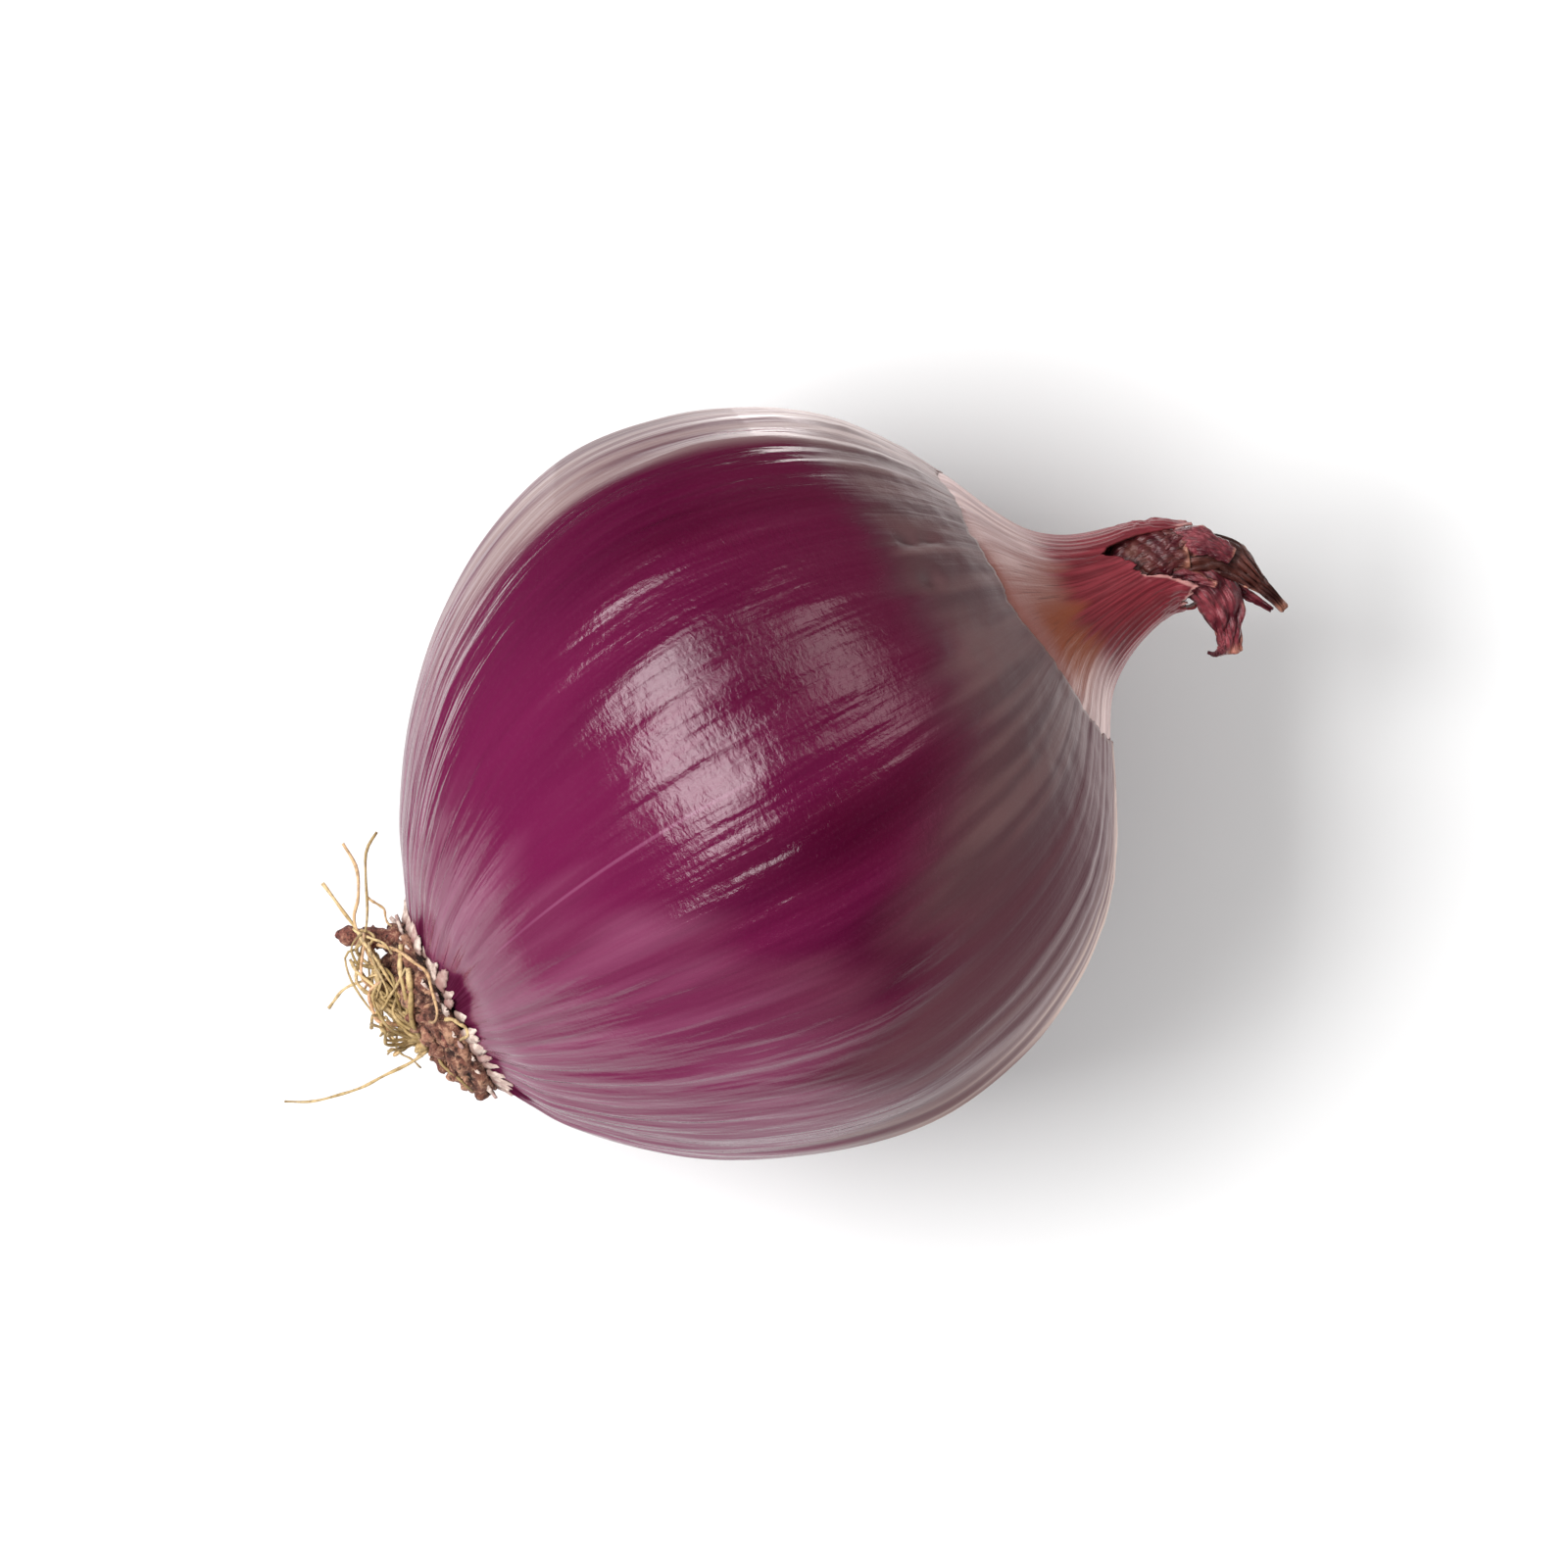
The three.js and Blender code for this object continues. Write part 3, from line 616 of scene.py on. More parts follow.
neck_outline = Outline(NECK_OUTLINE)
NECK_COLUMNS, NECK_ROWS, LINING_ROWS = 300, 110, 26
NECK_START, LINING_END = 31.0, 41.8
SHEATH_THICKNESS = 0.28
WINE_DARK, WINE_LIGHT = rgb(100, 22, 33), rgb(132, 37, 49)
WINE_LINE = rgb(58, 14, 22)
TAN_DARK, TAN_LIGHT = rgb(138, 76, 66), rgb(148, 98, 90)
PAINTED_RIM_PINK_DARK, PAINTED_RIM_PINK_LIGHT = rgb(156, 118, 116), rgb(196, 164, 160)
ORANGE_PATCH, DARK_RAY = rgb(138, 64, 30), rgb(84, 40, 36)
LINING_DARK, LINING_LIGHT = rgb(84, 36, 36), rgb(128, 68, 62)
SHEATH_LIP = rgb(206, 150, 144)


def make_neck():
    turn = np.arange(NECK_COLUMNS) / NECK_COLUMNS
    angle = turn * FULL_TURN
    tear = 0.5 * streaks(turn, 0 * turn, 34, 1, 61) + 0.4 * streaks(turn, 0 * turn, 90, 1, 62)
    tear = tear + 0.18 * random.uniform(-1, 1, NECK_COLUMNS)
    end = neck_outline.share_at(end_at(SHEATH_END, angle) + tear)
    first = neck_outline.share_at(NECK_START)
    share = first + (end[None, :] - first) * shares_down(NECK_ROWS)
    x = np.interp(share, neck_outline.share, neck_outline.path[:, 0])
    turns = np.broadcast_to(turn, share.shape)
    angles = np.broadcast_to(angle, share.shape)

    def drift(around, along, seed):
        return streaks(turns, share, around, along, seed)

    ribs = 0.03 * np.cos(52 * angles + 0.8 * np.sin(3 * angles)) + 0.035 * drift(78, 3, 63)
    folds = 0.16 * smooth(34, 44, x) * drift(19, 3, 64)
    crush = smooth(44, 49, x) * (0.3 * drift(23, 26, 65) + 0.12 * drift(60, 60, 66))
    inward = smooth(3.0, 0, end_at(SHEATH_END, angles) - x) * bump_at(np.degrees(angles), 75, 40)
    under_skin = smooth(0.6, -0.8, x - end_at(SKIN_END, angles))
    relief = ribs * smooth(31, 35, x) + folds + crush - 0.35 * inward
    relief = relief - 0.3 * under_skin
    outside = neck_outline.point(share, angles, relief)
    to_inner = shares_down(LINING_ROWS)
    inner_share = mix(end, neck_outline.share_at(LINING_END), to_inner)
    inner_relief = np.stack(
        [np.interp(inner_share[:, j], share[:, j], relief[:, j]) for j in range(NECK_COLUMNS)], -1
    )
    inner_angles = np.broadcast_to(angle, inner_share.shape)
    inside = neck_outline.point(inner_share, inner_angles, inner_relief - SHEATH_THICKNESS)
    rings = np.concatenate([outside, inside])
    piece = new_piece("onion_neck", rings.reshape(-1, 3), ring_faces(len(rings), NECK_COLUMNS))

    inner_x = np.interp(inner_share, neck_outline.share, neck_outline.path[:, 0])
    all_x = np.concatenate([x, inner_x])
    share = np.concatenate([share, inner_share])
    turns = np.broadcast_to(turn, share.shape)
    angles = np.broadcast_to(angle, share.shape)
    keep_values(
        piece,
        along_x=all_x,
        to_end=end_at(SHEATH_END, angles) - all_x,
        inside=np.concatenate([0 * x, 1 + 0 * inner_x]),
        side=np.cos(angles),
        streak_wide=0.5 + 0.5 * drift(30, 3, 67),
        streak_fine=0.5 + 0.5 * drift(120, 4, 68),
    )
    keep_grain(piece, angles, 1.2 * share)
    return piece


def neck_material():
    n = Nodes("neck_skin")
    grain = n.attribute("grain", "Vector")
    x, side, wide, fine = n.attributes("along_x", "side", "streak_wide", "streak_fine")
    lines = n.noise(n.scaled(grain, (1, 1, 0.12)), 26, 3, 0.6)
    thin_lines = n.noise(n.scaled(grain, (1, 1, 0.05)), 60, 2, 0.5)
    wine = n.blend(n.ranged(lines, 0.35, 0.65), WINE_DARK, WINE_LIGHT)
    wine = n.tint(wine, n.ranged(thin_lines, 0.55, 0.68), 0.15, WINE_LINE)
    tan = n.blend(n.ranged(wide, 0.3, 0.75), TAN_DARK, TAN_LIGHT)
    # Pale pink at the neck's two outlines as seen from above: a painted highlight of light through the
    # thin sheath
    painted_rim_pink = n.blend(n.ranged(fine, 0.2, 0.8), PAINTED_RIM_PINK_DARK, PAINTED_RIM_PINK_LIGHT)
    outline_share = n.plus(n.math("ABSOLUTE", side), n.times(fine, 0.16))
    base = n.blend(n.ranged(outline_share, 0.42, 0.72), tan, painted_rim_pink)
    near_patch = n.ranged(n.math("ABSOLUTE", n.plus(side, 0.24)), 0.5, 0.2)
    orange = n.times(near_patch, n.ranged(x, 33.0, 34.8))
    base = n.tint(base, orange, 0.95, ORANGE_PATCH)
    rays = n.times(n.ranged(thin_lines, 0.6, 0.68), n.ranged(x, 32.6, 34.0))
    base = n.tint(base, rays, 0.6, DARK_RAY)
    to_wine = n.ranged(n.plus(x, n.times(fine, 2.2)), 37.2, 40.6)
    colour = n.blend(to_wine, base, wine)
    lining = n.blend(n.ranged(lines, 0.3, 0.7), LINING_DARK, LINING_LIGHT)
    colour = n.blend(n.attribute("inside"), colour, lining)
    pale_edge = n.times(n.ranged(n.attribute("to_end"), 0.5, 0.1), n.ranged(wide, 0.35, 0.6))
    colour = n.tint(colour, pale_edge, 0.7, SHEATH_LIP)
    normal = n.bump(lines, 0.0002, 0.5)
    normal = n.bump(thin_lines, 0.0001, 0.5, normal)
    normal = n.bump(n.noise(n.place(), 1500, 4, 0.65), 0.0001, 0.5, normal)
    roughness = n.ranged(lines, 0.3, 0.7, 0.4, 0.56)
    return n.finish(colour, roughness, normal, Specular_IOR_Level=0.3)


neck = make_neck()
dress(neck, neck_material(), "neck")

# The dried leaf tips in the sheath. Heights are above the bulb's axis.

DRY_LEAVES = [
    # spine, way its broad side looks, half width, curl, crumple, share of brown, taper at its tip
    ([(42.6, 0, 0.6), (46.6, 0.3, 2.4), (51, -0.3, 3.0), (54.8, -2.6, 2.5), (56.3, -6.6, 1.6),
      (57.6, -10.7, 0.2)],
     (0.2, 0.2, 1), 2.8, 1.1, 0.7, 0.8, 0.8),
    ([(42.6, -0.8, 0), (47.2, -1.0, 1.3), (51.0, -3.0, 2.4), (52.0, -7.2, 1.5), (50.4, -12.2, -0.8)],
     (0.1, 0, 1), 3.0, 0.8, 0.7, 0.1, 0.5),
    ([(42.6, -1, -0.9), (48.5, -1.6, -0.9), (52.6, -4, -0.6), (55.2, -8, -0.9), (56.4, -10.2, -1.8)],
     (0.3, 0.2, -1), 1.5, 1.2, 0.4, 0.3, 0.8),
    ([(42.6, 1.2, -0.6), (47.5, 1.6, -1.6), (51.6, 0.6, -2.8), (54.2, -2.4, -4.2)],
     (0, 0.4, -1), 1.9, 1.2, 0.4, 0.6, 0.8),
    ([(42.6, -1.4, 1.0), (46.4, -1.7, 1.8), (49.8, -2.8, 2.9), (52.4, -5.0, 3.3)],
     (0, -0.6, 1), 1.5, 1.0, 0.5, 0.35, 0.8),
    ([(43.0, 0.8, 1.6), (46.0, 1.2, 3.0), (49.4, 1.4, 3.5), (52.4, 0.6, 3.3), (54.0, -1.2, 3.2)],
     (-0.2, 0.5, 1), 1.5, 1.2, 0.5, 0.5, 0.8),
    ([(43.0, -2.0, 0.2), (47.4, -3.2, 0.4), (50.0, -4.8, 0.8), (51.0, -7.0, 0.2)],
     (0, -0.3, 1), 1.1, 1.2, 0.5, 0.2, 0.8),
    ([(50.6, -9.6, 0.2), (50.0, -11.0, 0.0), (48.9, -11.4, 0.1), (48.2, -10.8, 0.2)],
     (0, 0, 1), 0.5, 0.9, 0.2, 0.1, 0.8),
    ([(42.0, 1.0, 2.4), (45.0, 1.4, 3.4), (48.5, 1.2, 3.8), (51.6, 0.2, 3.6)],
     (0, 0.2, 1), 3.6, 1.0, 0.34, 0.55, 0.3),
    ([(49.6, 1.6, 2.8), (52.2, 0.7, 4.0), (54.0, -1.1, 4.0), (55.3, -3.2, 3.5)],
     (0.1, 0.1, 1), 1.7, 1.0, 0.35, 0.05, 0.4),
]
LEAF_ROWS, LEAF_COLUMNS = 70, 22
LEAF_THICKNESS = 0.22
LEAF_WINE_DARK, LEAF_WINE_LIGHT = rgb(78, 20, 32), rgb(136, 52, 62)
UMBER_DARK, UMBER_LIGHT = rgb(44, 17, 14), rgb(90, 40, 30)
VEIN, LEAF_RIM = rgb(44, 16, 18), rgb(190, 128, 104)


def leaf_grid(spine, face, half_width, curl, crumple, at_tip, seed):
    path = curve_through([(x, y, z + AXIS_HEIGHT) for x, y, z in spine], LEAF_ROWS)
    along = np.gradient(path, axis=0)
    along /= np.linalg.norm(along, axis=1)[:, None]
    look = np.array(face, float)
    look /= np.linalg.norm(look)
    side = np.cross(along, look)
    side /= np.linalg.norm(side, axis=1)[:, None]
    out = np.cross(side, along)
    share = shares_down(LEAF_ROWS)
    across = np.linspace(-1, 1, LEAF_COLUMNS)[None, :]
    taper = 0.55 + 0.45 * smooth(0, 0.35, share) - at_tip * smooth(0.5, 1, share)
    pick = seeded(seed).uniform
    edge = 1 + 0.14 * np.sin(pick(0, 6) + 17 * share) * np.abs(across) ** 3
    edge = edge + 0.03 * np.sin(pick(0, 6) + 53 * share) * np.abs(across) ** 5
    reach = half_width * taper * edge / curl
    folds = 0
    for k in range(6):
        turn_share, turn_across = pick(4, 26), pick(-9, 9)
        folds = folds + pick(0.3, 1) / (1 + 0.5 * k) * np.abs(
            np.sin(turn_share * share + turn_across * across + pick(0, 6))
        )
    ripple = crumple * (folds - 1.1) * smooth(0.12, 0.45, share)
    bend = curl * across
    grid = path[:, None, :] + side[:, None, :] * (reach * np.sin(bend))[..., None]
    return grid + out[:, None, :] * (reach * (np.cos(bend) - 1) + ripple)[..., None]


def make_leaves():
    bunch = Bunch()
    share, across = np.meshgrid(
        np.linspace(0, 1, LEAF_ROWS), np.linspace(-1, 1, LEAF_COLUMNS), indexing="ij"
    )
    places = {"share": np.tile(share.ravel(), 2), "across": np.tile(across.ravel(), 2)}
    thickness = np.full(share.shape, LEAF_THICKNESS)
    for k, (*shape, brown, at_tip) in enumerate(DRY_LEAVES):
        grid = leaf_grid(*shape, at_tip, 70 + k)
        bunch.add(*leaf_faces(grid, thickness), brown=brown, own=k / 7, **places)
    return bunch.piece("onion_dry_leaves")


def leaf_material():
    n = Nodes("dry_leaf")
    brown, across, share, own = n.attributes("brown", "across", "share", "own")
    patches = n.noise(n.place(), 420, 4, 0.6)
    veins = n.noise(n.joined(across, n.times(share, 0.5), n.times(own, 9.0)), 7, 3, 0.6)
    wine = n.blend(n.ranged(patches, 0.35, 0.65), LEAF_WINE_DARK, LEAF_WINE_LIGHT)
    umber = n.blend(n.ranged(patches, 0.3, 0.7), UMBER_DARK, UMBER_LIGHT)
    uneven_brown = n.plus(brown, n.times(n.math("SUBTRACT", patches, 0.5), 0.9))
    colour = n.blend(n.ranged(uneven_brown, 0.3, 0.7), wine, umber)
    colour = n.tint(colour, n.ranged(veins, 0.5, 0.62), 0.6, VEIN)
    rim = n.times(n.ranged(n.math("ABSOLUTE", across), 0.86, 1.0), n.ranged(patches, 0.5, 0.62))
    tip = n.times(n.ranged(share, 0.93, 1.0), n.ranged(patches, 0.42, 0.6))
    colour = n.tint(colour, n.math("MAXIMUM", rim, tip), 0.7, LEAF_RIM)
    normal = n.bump(veins, 0.0006, 0.6, n.bump(patches, 0.0004, 0.5))
    return n.finish(colour, n.ranged(patches, 0.3, 0.7, 0.28, 0.52), normal)


leaves = make_leaves()
dress(leaves, leaf_material(), "dry_leaves")

# The root plate and the torn skin tips round it

PLATE_OUTLINE = [
    (-37.3, 6.6), (-39.45, 9.0), (-39.8, 10.1), (-40.8, PLATE_RADIUS), (-42.0, 9.6), (-42.9, 7.8),
    (-43.5, 5.0), (-43.7, 2.0), (-43.7, 0.4),
]
PLATE_COLUMNS, PLATE_ROWS = 190, 90
NODULES, CRUMBS, TORN_TIPS = 170, 260, 92
TIP_ROWS, TIP_COLUMNS = 12, 7
STUB_STEPS = 22
CORK_PAINTED_PIT_SHADE, CORK_BROWN, CORK_PAINTED_TOP_HIGHLIGHT = rgb(50, 26, 22), rgb(122, 74, 60), rgb(186, 140, 112)
CORK_RED, CORK_GRAIN, CORK_CRACK = rgb(134, 66, 60), rgb(196, 152, 124), rgb(40, 20, 18)
TIP_DARK, TIP_LIGHT = rgb(176, 152, 142), rgb(224, 206, 194)
TIP_FOOT, TIP_RED = rgb(112, 70, 62), rgb(150, 96, 96)


def plate_point(x, radius, angle):
    x, radius, angle = np.broadcast_arrays(x, radius, angle)
    y = ROOT_OFFSET + radius * np.cos(angle)
    return np.stack([x, y, AXIS_HEIGHT + radius * np.sin(angle)], -1)


# A rounded lump with an uneven surface, as a ball of rings
def lump(size, pick):
    rings, sides = 9, 14
    polar = np.linspace(0.08, math.pi - 0.08, rings)[:, None]
    turn = (np.arange(sides) * FULL_TURN / sides)[None, :]
    out = np.sin(polar)
    shape = np.stack([np.cos(polar) + 0 * turn, out * np.cos(turn), out * np.sin(turn)], -1)
    uneven = 1 + 0.16 * np.sin(pick(2, 4) * shape[..., 0] + 3 * shape[..., 1] + pick(0, 6))
    uneven = uneven + 0.1 * np.sin(7 * shape[..., 2] + 5 * shape[..., 0] + pick(0, 6))
    stretch = pick(0.7, 1.15, 3)
    return (size * stretch * shape * uneven[..., None]).reshape(-1, 3), ring_faces(rings, sides)[::-1]


def make_plate():
    path = curve_through(PLATE_OUTLINE, PLATE_ROWS)
    turn = np.arange(PLATE_COLUMNS) / PLATE_COLUMNS
    share = shares_down(PLATE_ROWS) + 0 * turn
    x, radius = (values[:, None] + 0 * turn for values in path.T)
    turns = turn + 0 * share
    shown = smooth(0.12, 0.3, share)
    lumps = 0.7 * streaks(turns, share, 17, 9, 81) + 0.55 * streaks(turns, share, 41, 22, 82)
    lumps = lumps + 0.42 * streaks(turns, share, 90, 48, 83)
    pits = np.minimum(streaks(turns, share, 30, 15, 84), 0) * 0.9
    toward_middle = smooth(9.6, 4.0, radius)
    relief = shown * (0.75 * lumps + pits)
    rings = plate_point(
        x - relief * (0.35 + 0.65 * toward_middle),
        radius + relief * (1 - toward_middle) * smooth(0.0, 0.3, share) * 0.8,
        turns * FULL_TURN,
    )
    bunch = Bunch()
    # How high the plate stands, for the cork's painted shade and highlight
    raised = 0.4 + 0.5 * relief[::-1].ravel()
    bunch.add(rings[::-1].reshape(-1, 3), ring_faces(PLATE_ROWS, PLATE_COLUMNS), own=0.5, raised=raised)
    pick = seeded(23).uniform
    for _ in range(NODULES):
        angle = pick(0, FULL_TURN)
        at_radius = PLATE_RADIUS * math.sqrt(pick(0.25, 1.0))
        depth = 3.2 * (1 - (at_radius / PLATE_RADIUS) ** 3)
        points, faces = lump(pick(0.28, 0.9), pick)
        points = points + plate_point(-40.9 - depth + pick(-0.5, 0.3), at_radius - 0.2, angle)
        bunch.add(points, faces, own=pick(0, 1), raised=pick(0.3, 0.9))
    # Corky crumbs and stubs of old roots all over its rim and face
    for _ in range(CRUMBS):
        angle = pick(0, FULL_TURN)
        at_radius = PLATE_RADIUS * math.sqrt(pick(0.1, 1.0))
        start_x = -40.4 - 3.0 * (1 - (at_radius / PLATE_RADIUS) ** 3)
        start = plate_point(start_x, at_radius - 0.5, angle)
        lean = np.array([-1.0, 0.75 * math.cos(angle), 0.75 * math.sin(angle)])
        lean = lean + pick(-0.6, 0.6, 3)
        length = pick(0.3, 1.0)
        knee = start + lean * length * 0.5
        tip = knee + (lean + pick(-0.8, 0.8, 3)) * length * 0.5
        radius = pick(0.18, 0.42) * np.array([1.0, 1.15, 0.95, 0.8, 0.45])
        crumb = tube(curve_through([start, knee, tip], len(radius)), radius, 6)
        bunch.add(*crumb, own=pick(0, 1), raised=pick(0.5, 1.1))
    # The dried stub that sticks out past the plate's upper edge
    stub_places = [(-41.2, 8.6, 0.25), (-43.9, 10.4, 0.2), (-46.8, 12.2, 0.12)]
    stub = curve_through([plate_point(*place) for place in stub_places], STUB_STEPS)
    share = np.linspace(0, 1, STUB_STEPS)
    rounded_end = np.sqrt(np.clip((1.04 - share) * 6, 0.05, 1))
    radius = (1.35 - 0.55 * share + 0.18 * np.sin(17 * share)) * rounded_end
    points, faces = tube(stub, radius, 14)
    points = points + 0.16 * pick(-1, 1, points.shape)
    bunch.add(points, faces, own=0.8, raised=0.55)
    return bunch.piece("onion_root_plate")


def make_torn_tips():
    pick = seeded(24).uniform
    bunch = Bunch()
    for k in range(TORN_TIPS):
        angle = FULL_TURN * (k + pick(-0.5, 0.5)) / TORN_TIPS
        outer = k % 3 > 0
        length = pick(1.6, 3.1) if outer else pick(1.1, 2.0)
        width = pick(0.5, 1.05)
        radial = np.array([0, math.cos(angle), math.sin(angle)])
        sideways_way = np.array([0, -math.sin(angle), math.cos(angle)])
        forward = pick(0.5, 0.9) if outer else pick(-0.2, 0.3)
        lean = np.array([forward, 0, 0]) + radial + sideways_way * pick(-0.35, 0.35)
        lean /= np.linalg.norm(lean)
        foot = plate_point(-39.7 if outer else -40.7, PLATE_RADIUS + (0.1 if outer else -0.8), angle)
        foot = foot + pick(-0.25, 0.25, 3)
        share = shares_down(TIP_ROWS)
        across = np.linspace(-1, 1, TIP_COLUMNS)[None, :]
        edge = width * (1 - 0.84 * share**1.6) * (1 + 0.2 * np.sin(19 * share + k) * np.abs(across))
        curl = 0.35 * width * across**2 + 0.3 * pick(-1, 1) * share**2
        normal = np.cross(lean, sideways_way)
        grid = (
            foot
            + lean * (share * length)[..., None]
            + sideways_way * (edge * across)[..., None]
            + normal * curl[..., None]
        )
        shares = np.repeat(share, TIP_COLUMNS, 1)
        leaf = leaf_faces(grid, 0.34 - 0.2 * shares)
        bunch.add(*leaf, own=pick(0, 1), share=np.tile(shares.ravel(), 2))
    return bunch.piece("onion_torn_tips")


def cork_material():
    n = Nodes("cork")
    place = n.place()
    coarse, fine = n.noise(place, 380, 4, 0.65), n.noise(place, 1500, 4, 0.7)
    # Darker in the pits and paler on the raised tops: painted shade and painted highlight
    height = n.plus(n.attribute("raised"), n.times(n.math("SUBTRACT", coarse, 0.5), 1.2))
    colour = n.blend(n.ranged(height, 0.1, 0.5), CORK_PAINTED_PIT_SHADE, CORK_BROWN)
    colour = n.blend(n.ranged(height, 0.5, 1.0), colour, CORK_PAINTED_TOP_HIGHLIGHT)
    colour = n.tint(colour, n.ranged(n.attribute("own"), 0.55, 0.8), 0.4, CORK_RED)
    colour = n.tint(colour, n.ranged(fine, 0.5, 0.66), 0.75, CORK_GRAIN)
    colour = n.tint(colour, n.ranged(fine, 0.48, 0.34), 0.85, CORK_CRACK)
    return n.finish(colour, 0.85, n.bump(fine, 0.0005, 0.9, n.bump(coarse, 0.0008, 0.7)))


def torn_tip_material():
    n = Nodes("torn_tips")
    grainy = n.noise(n.place(), 1300, 3, 0.6)
    colour = n.blend(n.ranged(grainy, 0.35, 0.65), TIP_DARK, TIP_LIGHT)
    colour = n.tint(colour, n.ranged(n.attribute("share"), 0.45, 0.1), 0.7, TIP_FOOT)
    colour = n.tint(colour, n.ranged(n.attribute("own"), 0.6, 0.9), 0.5, TIP_RED)
    return n.finish(colour, 0.7, n.bump(grainy, 0.0002, 0.6))


plate = make_plate()
dress(plate, cork_material(), "root_plate")
torn_tips = make_torn_tips()
dress(torn_tips, torn_tip_material(), "root_plate")

# The roots: dry fibres on a crown that sits against the plate. Heights are above the axis.

CROWN_X = -44.8
CROWN_CENTRE = (CROWN_X, -6.2, 0.6)
# Radius at the foot, and points as (x, y, height)
LONG_ROOTS = [
    (0.17, [(-44.2, -7.6, 1), (-46, -7.8, 1.6), (-49.2, -7.8, 1.4), (-52.4, -7.6, 0.2),
     (-56.4, -6.9, -1.8), (-60.5, -5.1, -3.6)]),
    (0.14, [(-37.5, 15, 7), (-39.5, 13.9, 6.9), (-40.9, 11.6, 6.6), (-42.3, 8.5, 6),
     (-43.6, 6.6, 5.2), (-45.2, 5.5, 4.2), (-46.9, 5.4, 3.8), (-47.7, 2.7, 3.6), (-47.4, -0.7, 3.2),
     (-46.7, -2.8, 2.8), (-45.4, -4.7, 1.8), (-44.5, -6.1, 0.8)]),
    (0.17, [(-41.3, 15.7, 5), (-41.3, 12.9, 4.8), (-42.8, 10, 4.6), (-44.3, 8, 4.6),
     (-44.6, 4.6, 4.4), (-45, -0.4, 3.4), (-44.6, -4.6, 1.4)]),
    (0.18, [(-45.4, 13.1, 3.4), (-44.9, 10.2, 3.6), (-44.5, 7.7, 4.4), (-44.5, 5.7, 5.4),
     (-44.1, 3.1, 6.4), (-43.9, 0.9, 6.8), (-43.8, -1.1, 6.2), (-44.2, -4, 3.6)]),
    (0.19, [(-43.3, 4.6, 5.2), (-41.8, 3.4, 7.4), (-40.8, 1.4, 9.6), (-39.9, -0.3, 10.6),
     (-40.3, -2.3, 11), (-41, -4.4, 11), (-41.8, -5.3, 10.5), (-42.2, -5, 10)]),
    (0.24, [(-41.1, 3.5, 7.2), (-42.3, 1.1, 8.4), (-43.2, -1.2, 7.8), (-43.9, -3.1, 5.6),
     (-44.6, -5.9, 2), (-44.3, -7.4, 0.2)]),
    (0.3, [(-41.4, 0.9, 9.4), (-42.6, -1.5, 9), (-43.9, -4.1, 6.6), (-44.3, -6.5, 2.4),
     (-44.3, -7.6, 0.4)]),
    (0.17, [(-46.6, 4.7, 3.5), (-46.6, 2.9, 4.2), (-45.5, 0.6, 4.8), (-45.1, -0.4, 4.4),
     (-44.9, -2.1, 3.4), (-44.4, -4.3, 1.8)]),
    (0.16, [(-51.4, 1.3, -0.8), (-49.4, 2.2, 0.6), (-46.8, 2.2, 2.4), (-44.8, 1.9, 4.8),
     (-43.6, 1.4, 6.6)]),
    (0.17, [(-48.4, -2.6, 1), (-47.4, -1.7, 2.6), (-45.5, -1.1, 5.2), (-43.1, 0.2, 8),
     (-41.7, 1.1, 9.2)]),
    (0.13, [(-46.9, -3.2, 3), (-47.1, -4.4, 2.6), (-46.8, -6.5, 1.6), (-46.1, -8.1, 0.6),
     (-45.8, -8.9, -0.2)]),
    (0.14, [(-42, 9.6, 3.4), (-41, 7.8, 4.6), (-41.2, 6.3, 5.4), (-41.1, 5.6, 6)]),
    (0.2, [(-40.6, -5.5, 10.9), (-39.7, -6.4, 11), (-39.2, -7.4, 11), (-39.5, -8.2, 10.8),
     (-40.3, -8.3, 10.4)]),
    (0.16, [(-43.5, -8, 5.2), (-43.4, -9.6, 5.2), (-43.1, -10.9, 5), (-42.5, -12.2, 5),
     (-42.2, -13.6, 3.4)]),
    (0.16, [(-44.2, 6.8, 4.2), (-43.2, 5.7, 5.4), (-44.3, 4.7, 5.2), (-44.4, 2.6, 5.2),
     (-45.1, 0.9, 4.8), (-45.9, -0.6, 4)]),
    (0.18, [(-46.5, 4.4, 2.4), (-45.3, 3.1, 3.6), (-43.8, 2, 6.2), (-43.5, 0.4, 7.2),
     (-44.3, -1.5, 5.6), (-44.8, -3.6, 3)]),
    (0.15, [(-44.7, 7.4, 4.6), (-44, 6, 5.4), (-42.9, 5, 6.2), (-42.2, 3, 8)]),
]
TUFT_ROOTS, SHORT_ROOTS, CROWN_FIBRES = 30, 12, 26
ROOT_STEPS, ROOT_SIDES = 34, 7
STRAW_DARK, STRAW_LIGHT = rgb(172, 144, 92), rgb(216, 188, 138)
ROOT_PINK, ROOT_OLIVE = rgb(220, 166, 132), rgb(140, 116, 66)
ROOT_FIBRE, ROOT_TIP = rgb(96, 66, 40), rgb(110, 92, 78)


def tuft_root(pick):
    length = pick(4, 12)
    start = pick(-7.2, -3.0)
    bow = pick(0.1, 3.2)
    low, high = pick(-0.5, 4.0), pick(1.0, 6.5)
    knots = 5
    share = np.linspace(0, 1, knots)
    arc = np.sin(math.pi * share**pick(0.6, 1.6))
    x = -44.0 - bow * arc + pick(-0.7, 0.7, knots)
    y = np.minimum(start + length * share + pick(-0.9, 0.9, knots), 6.5)
    z = mix(low, high, share) + pick(-0.8, 0.8, knots)
    path = np.stack([np.minimum(x, -43.9), y, z], -1)
    if pick() < 0.6:
        path[0] = (CROWN_X + 0.1, CROWN_CENTRE[1] - 0.6 + pick(0, 1.8), pick(-0.4, 2.2))
    return path


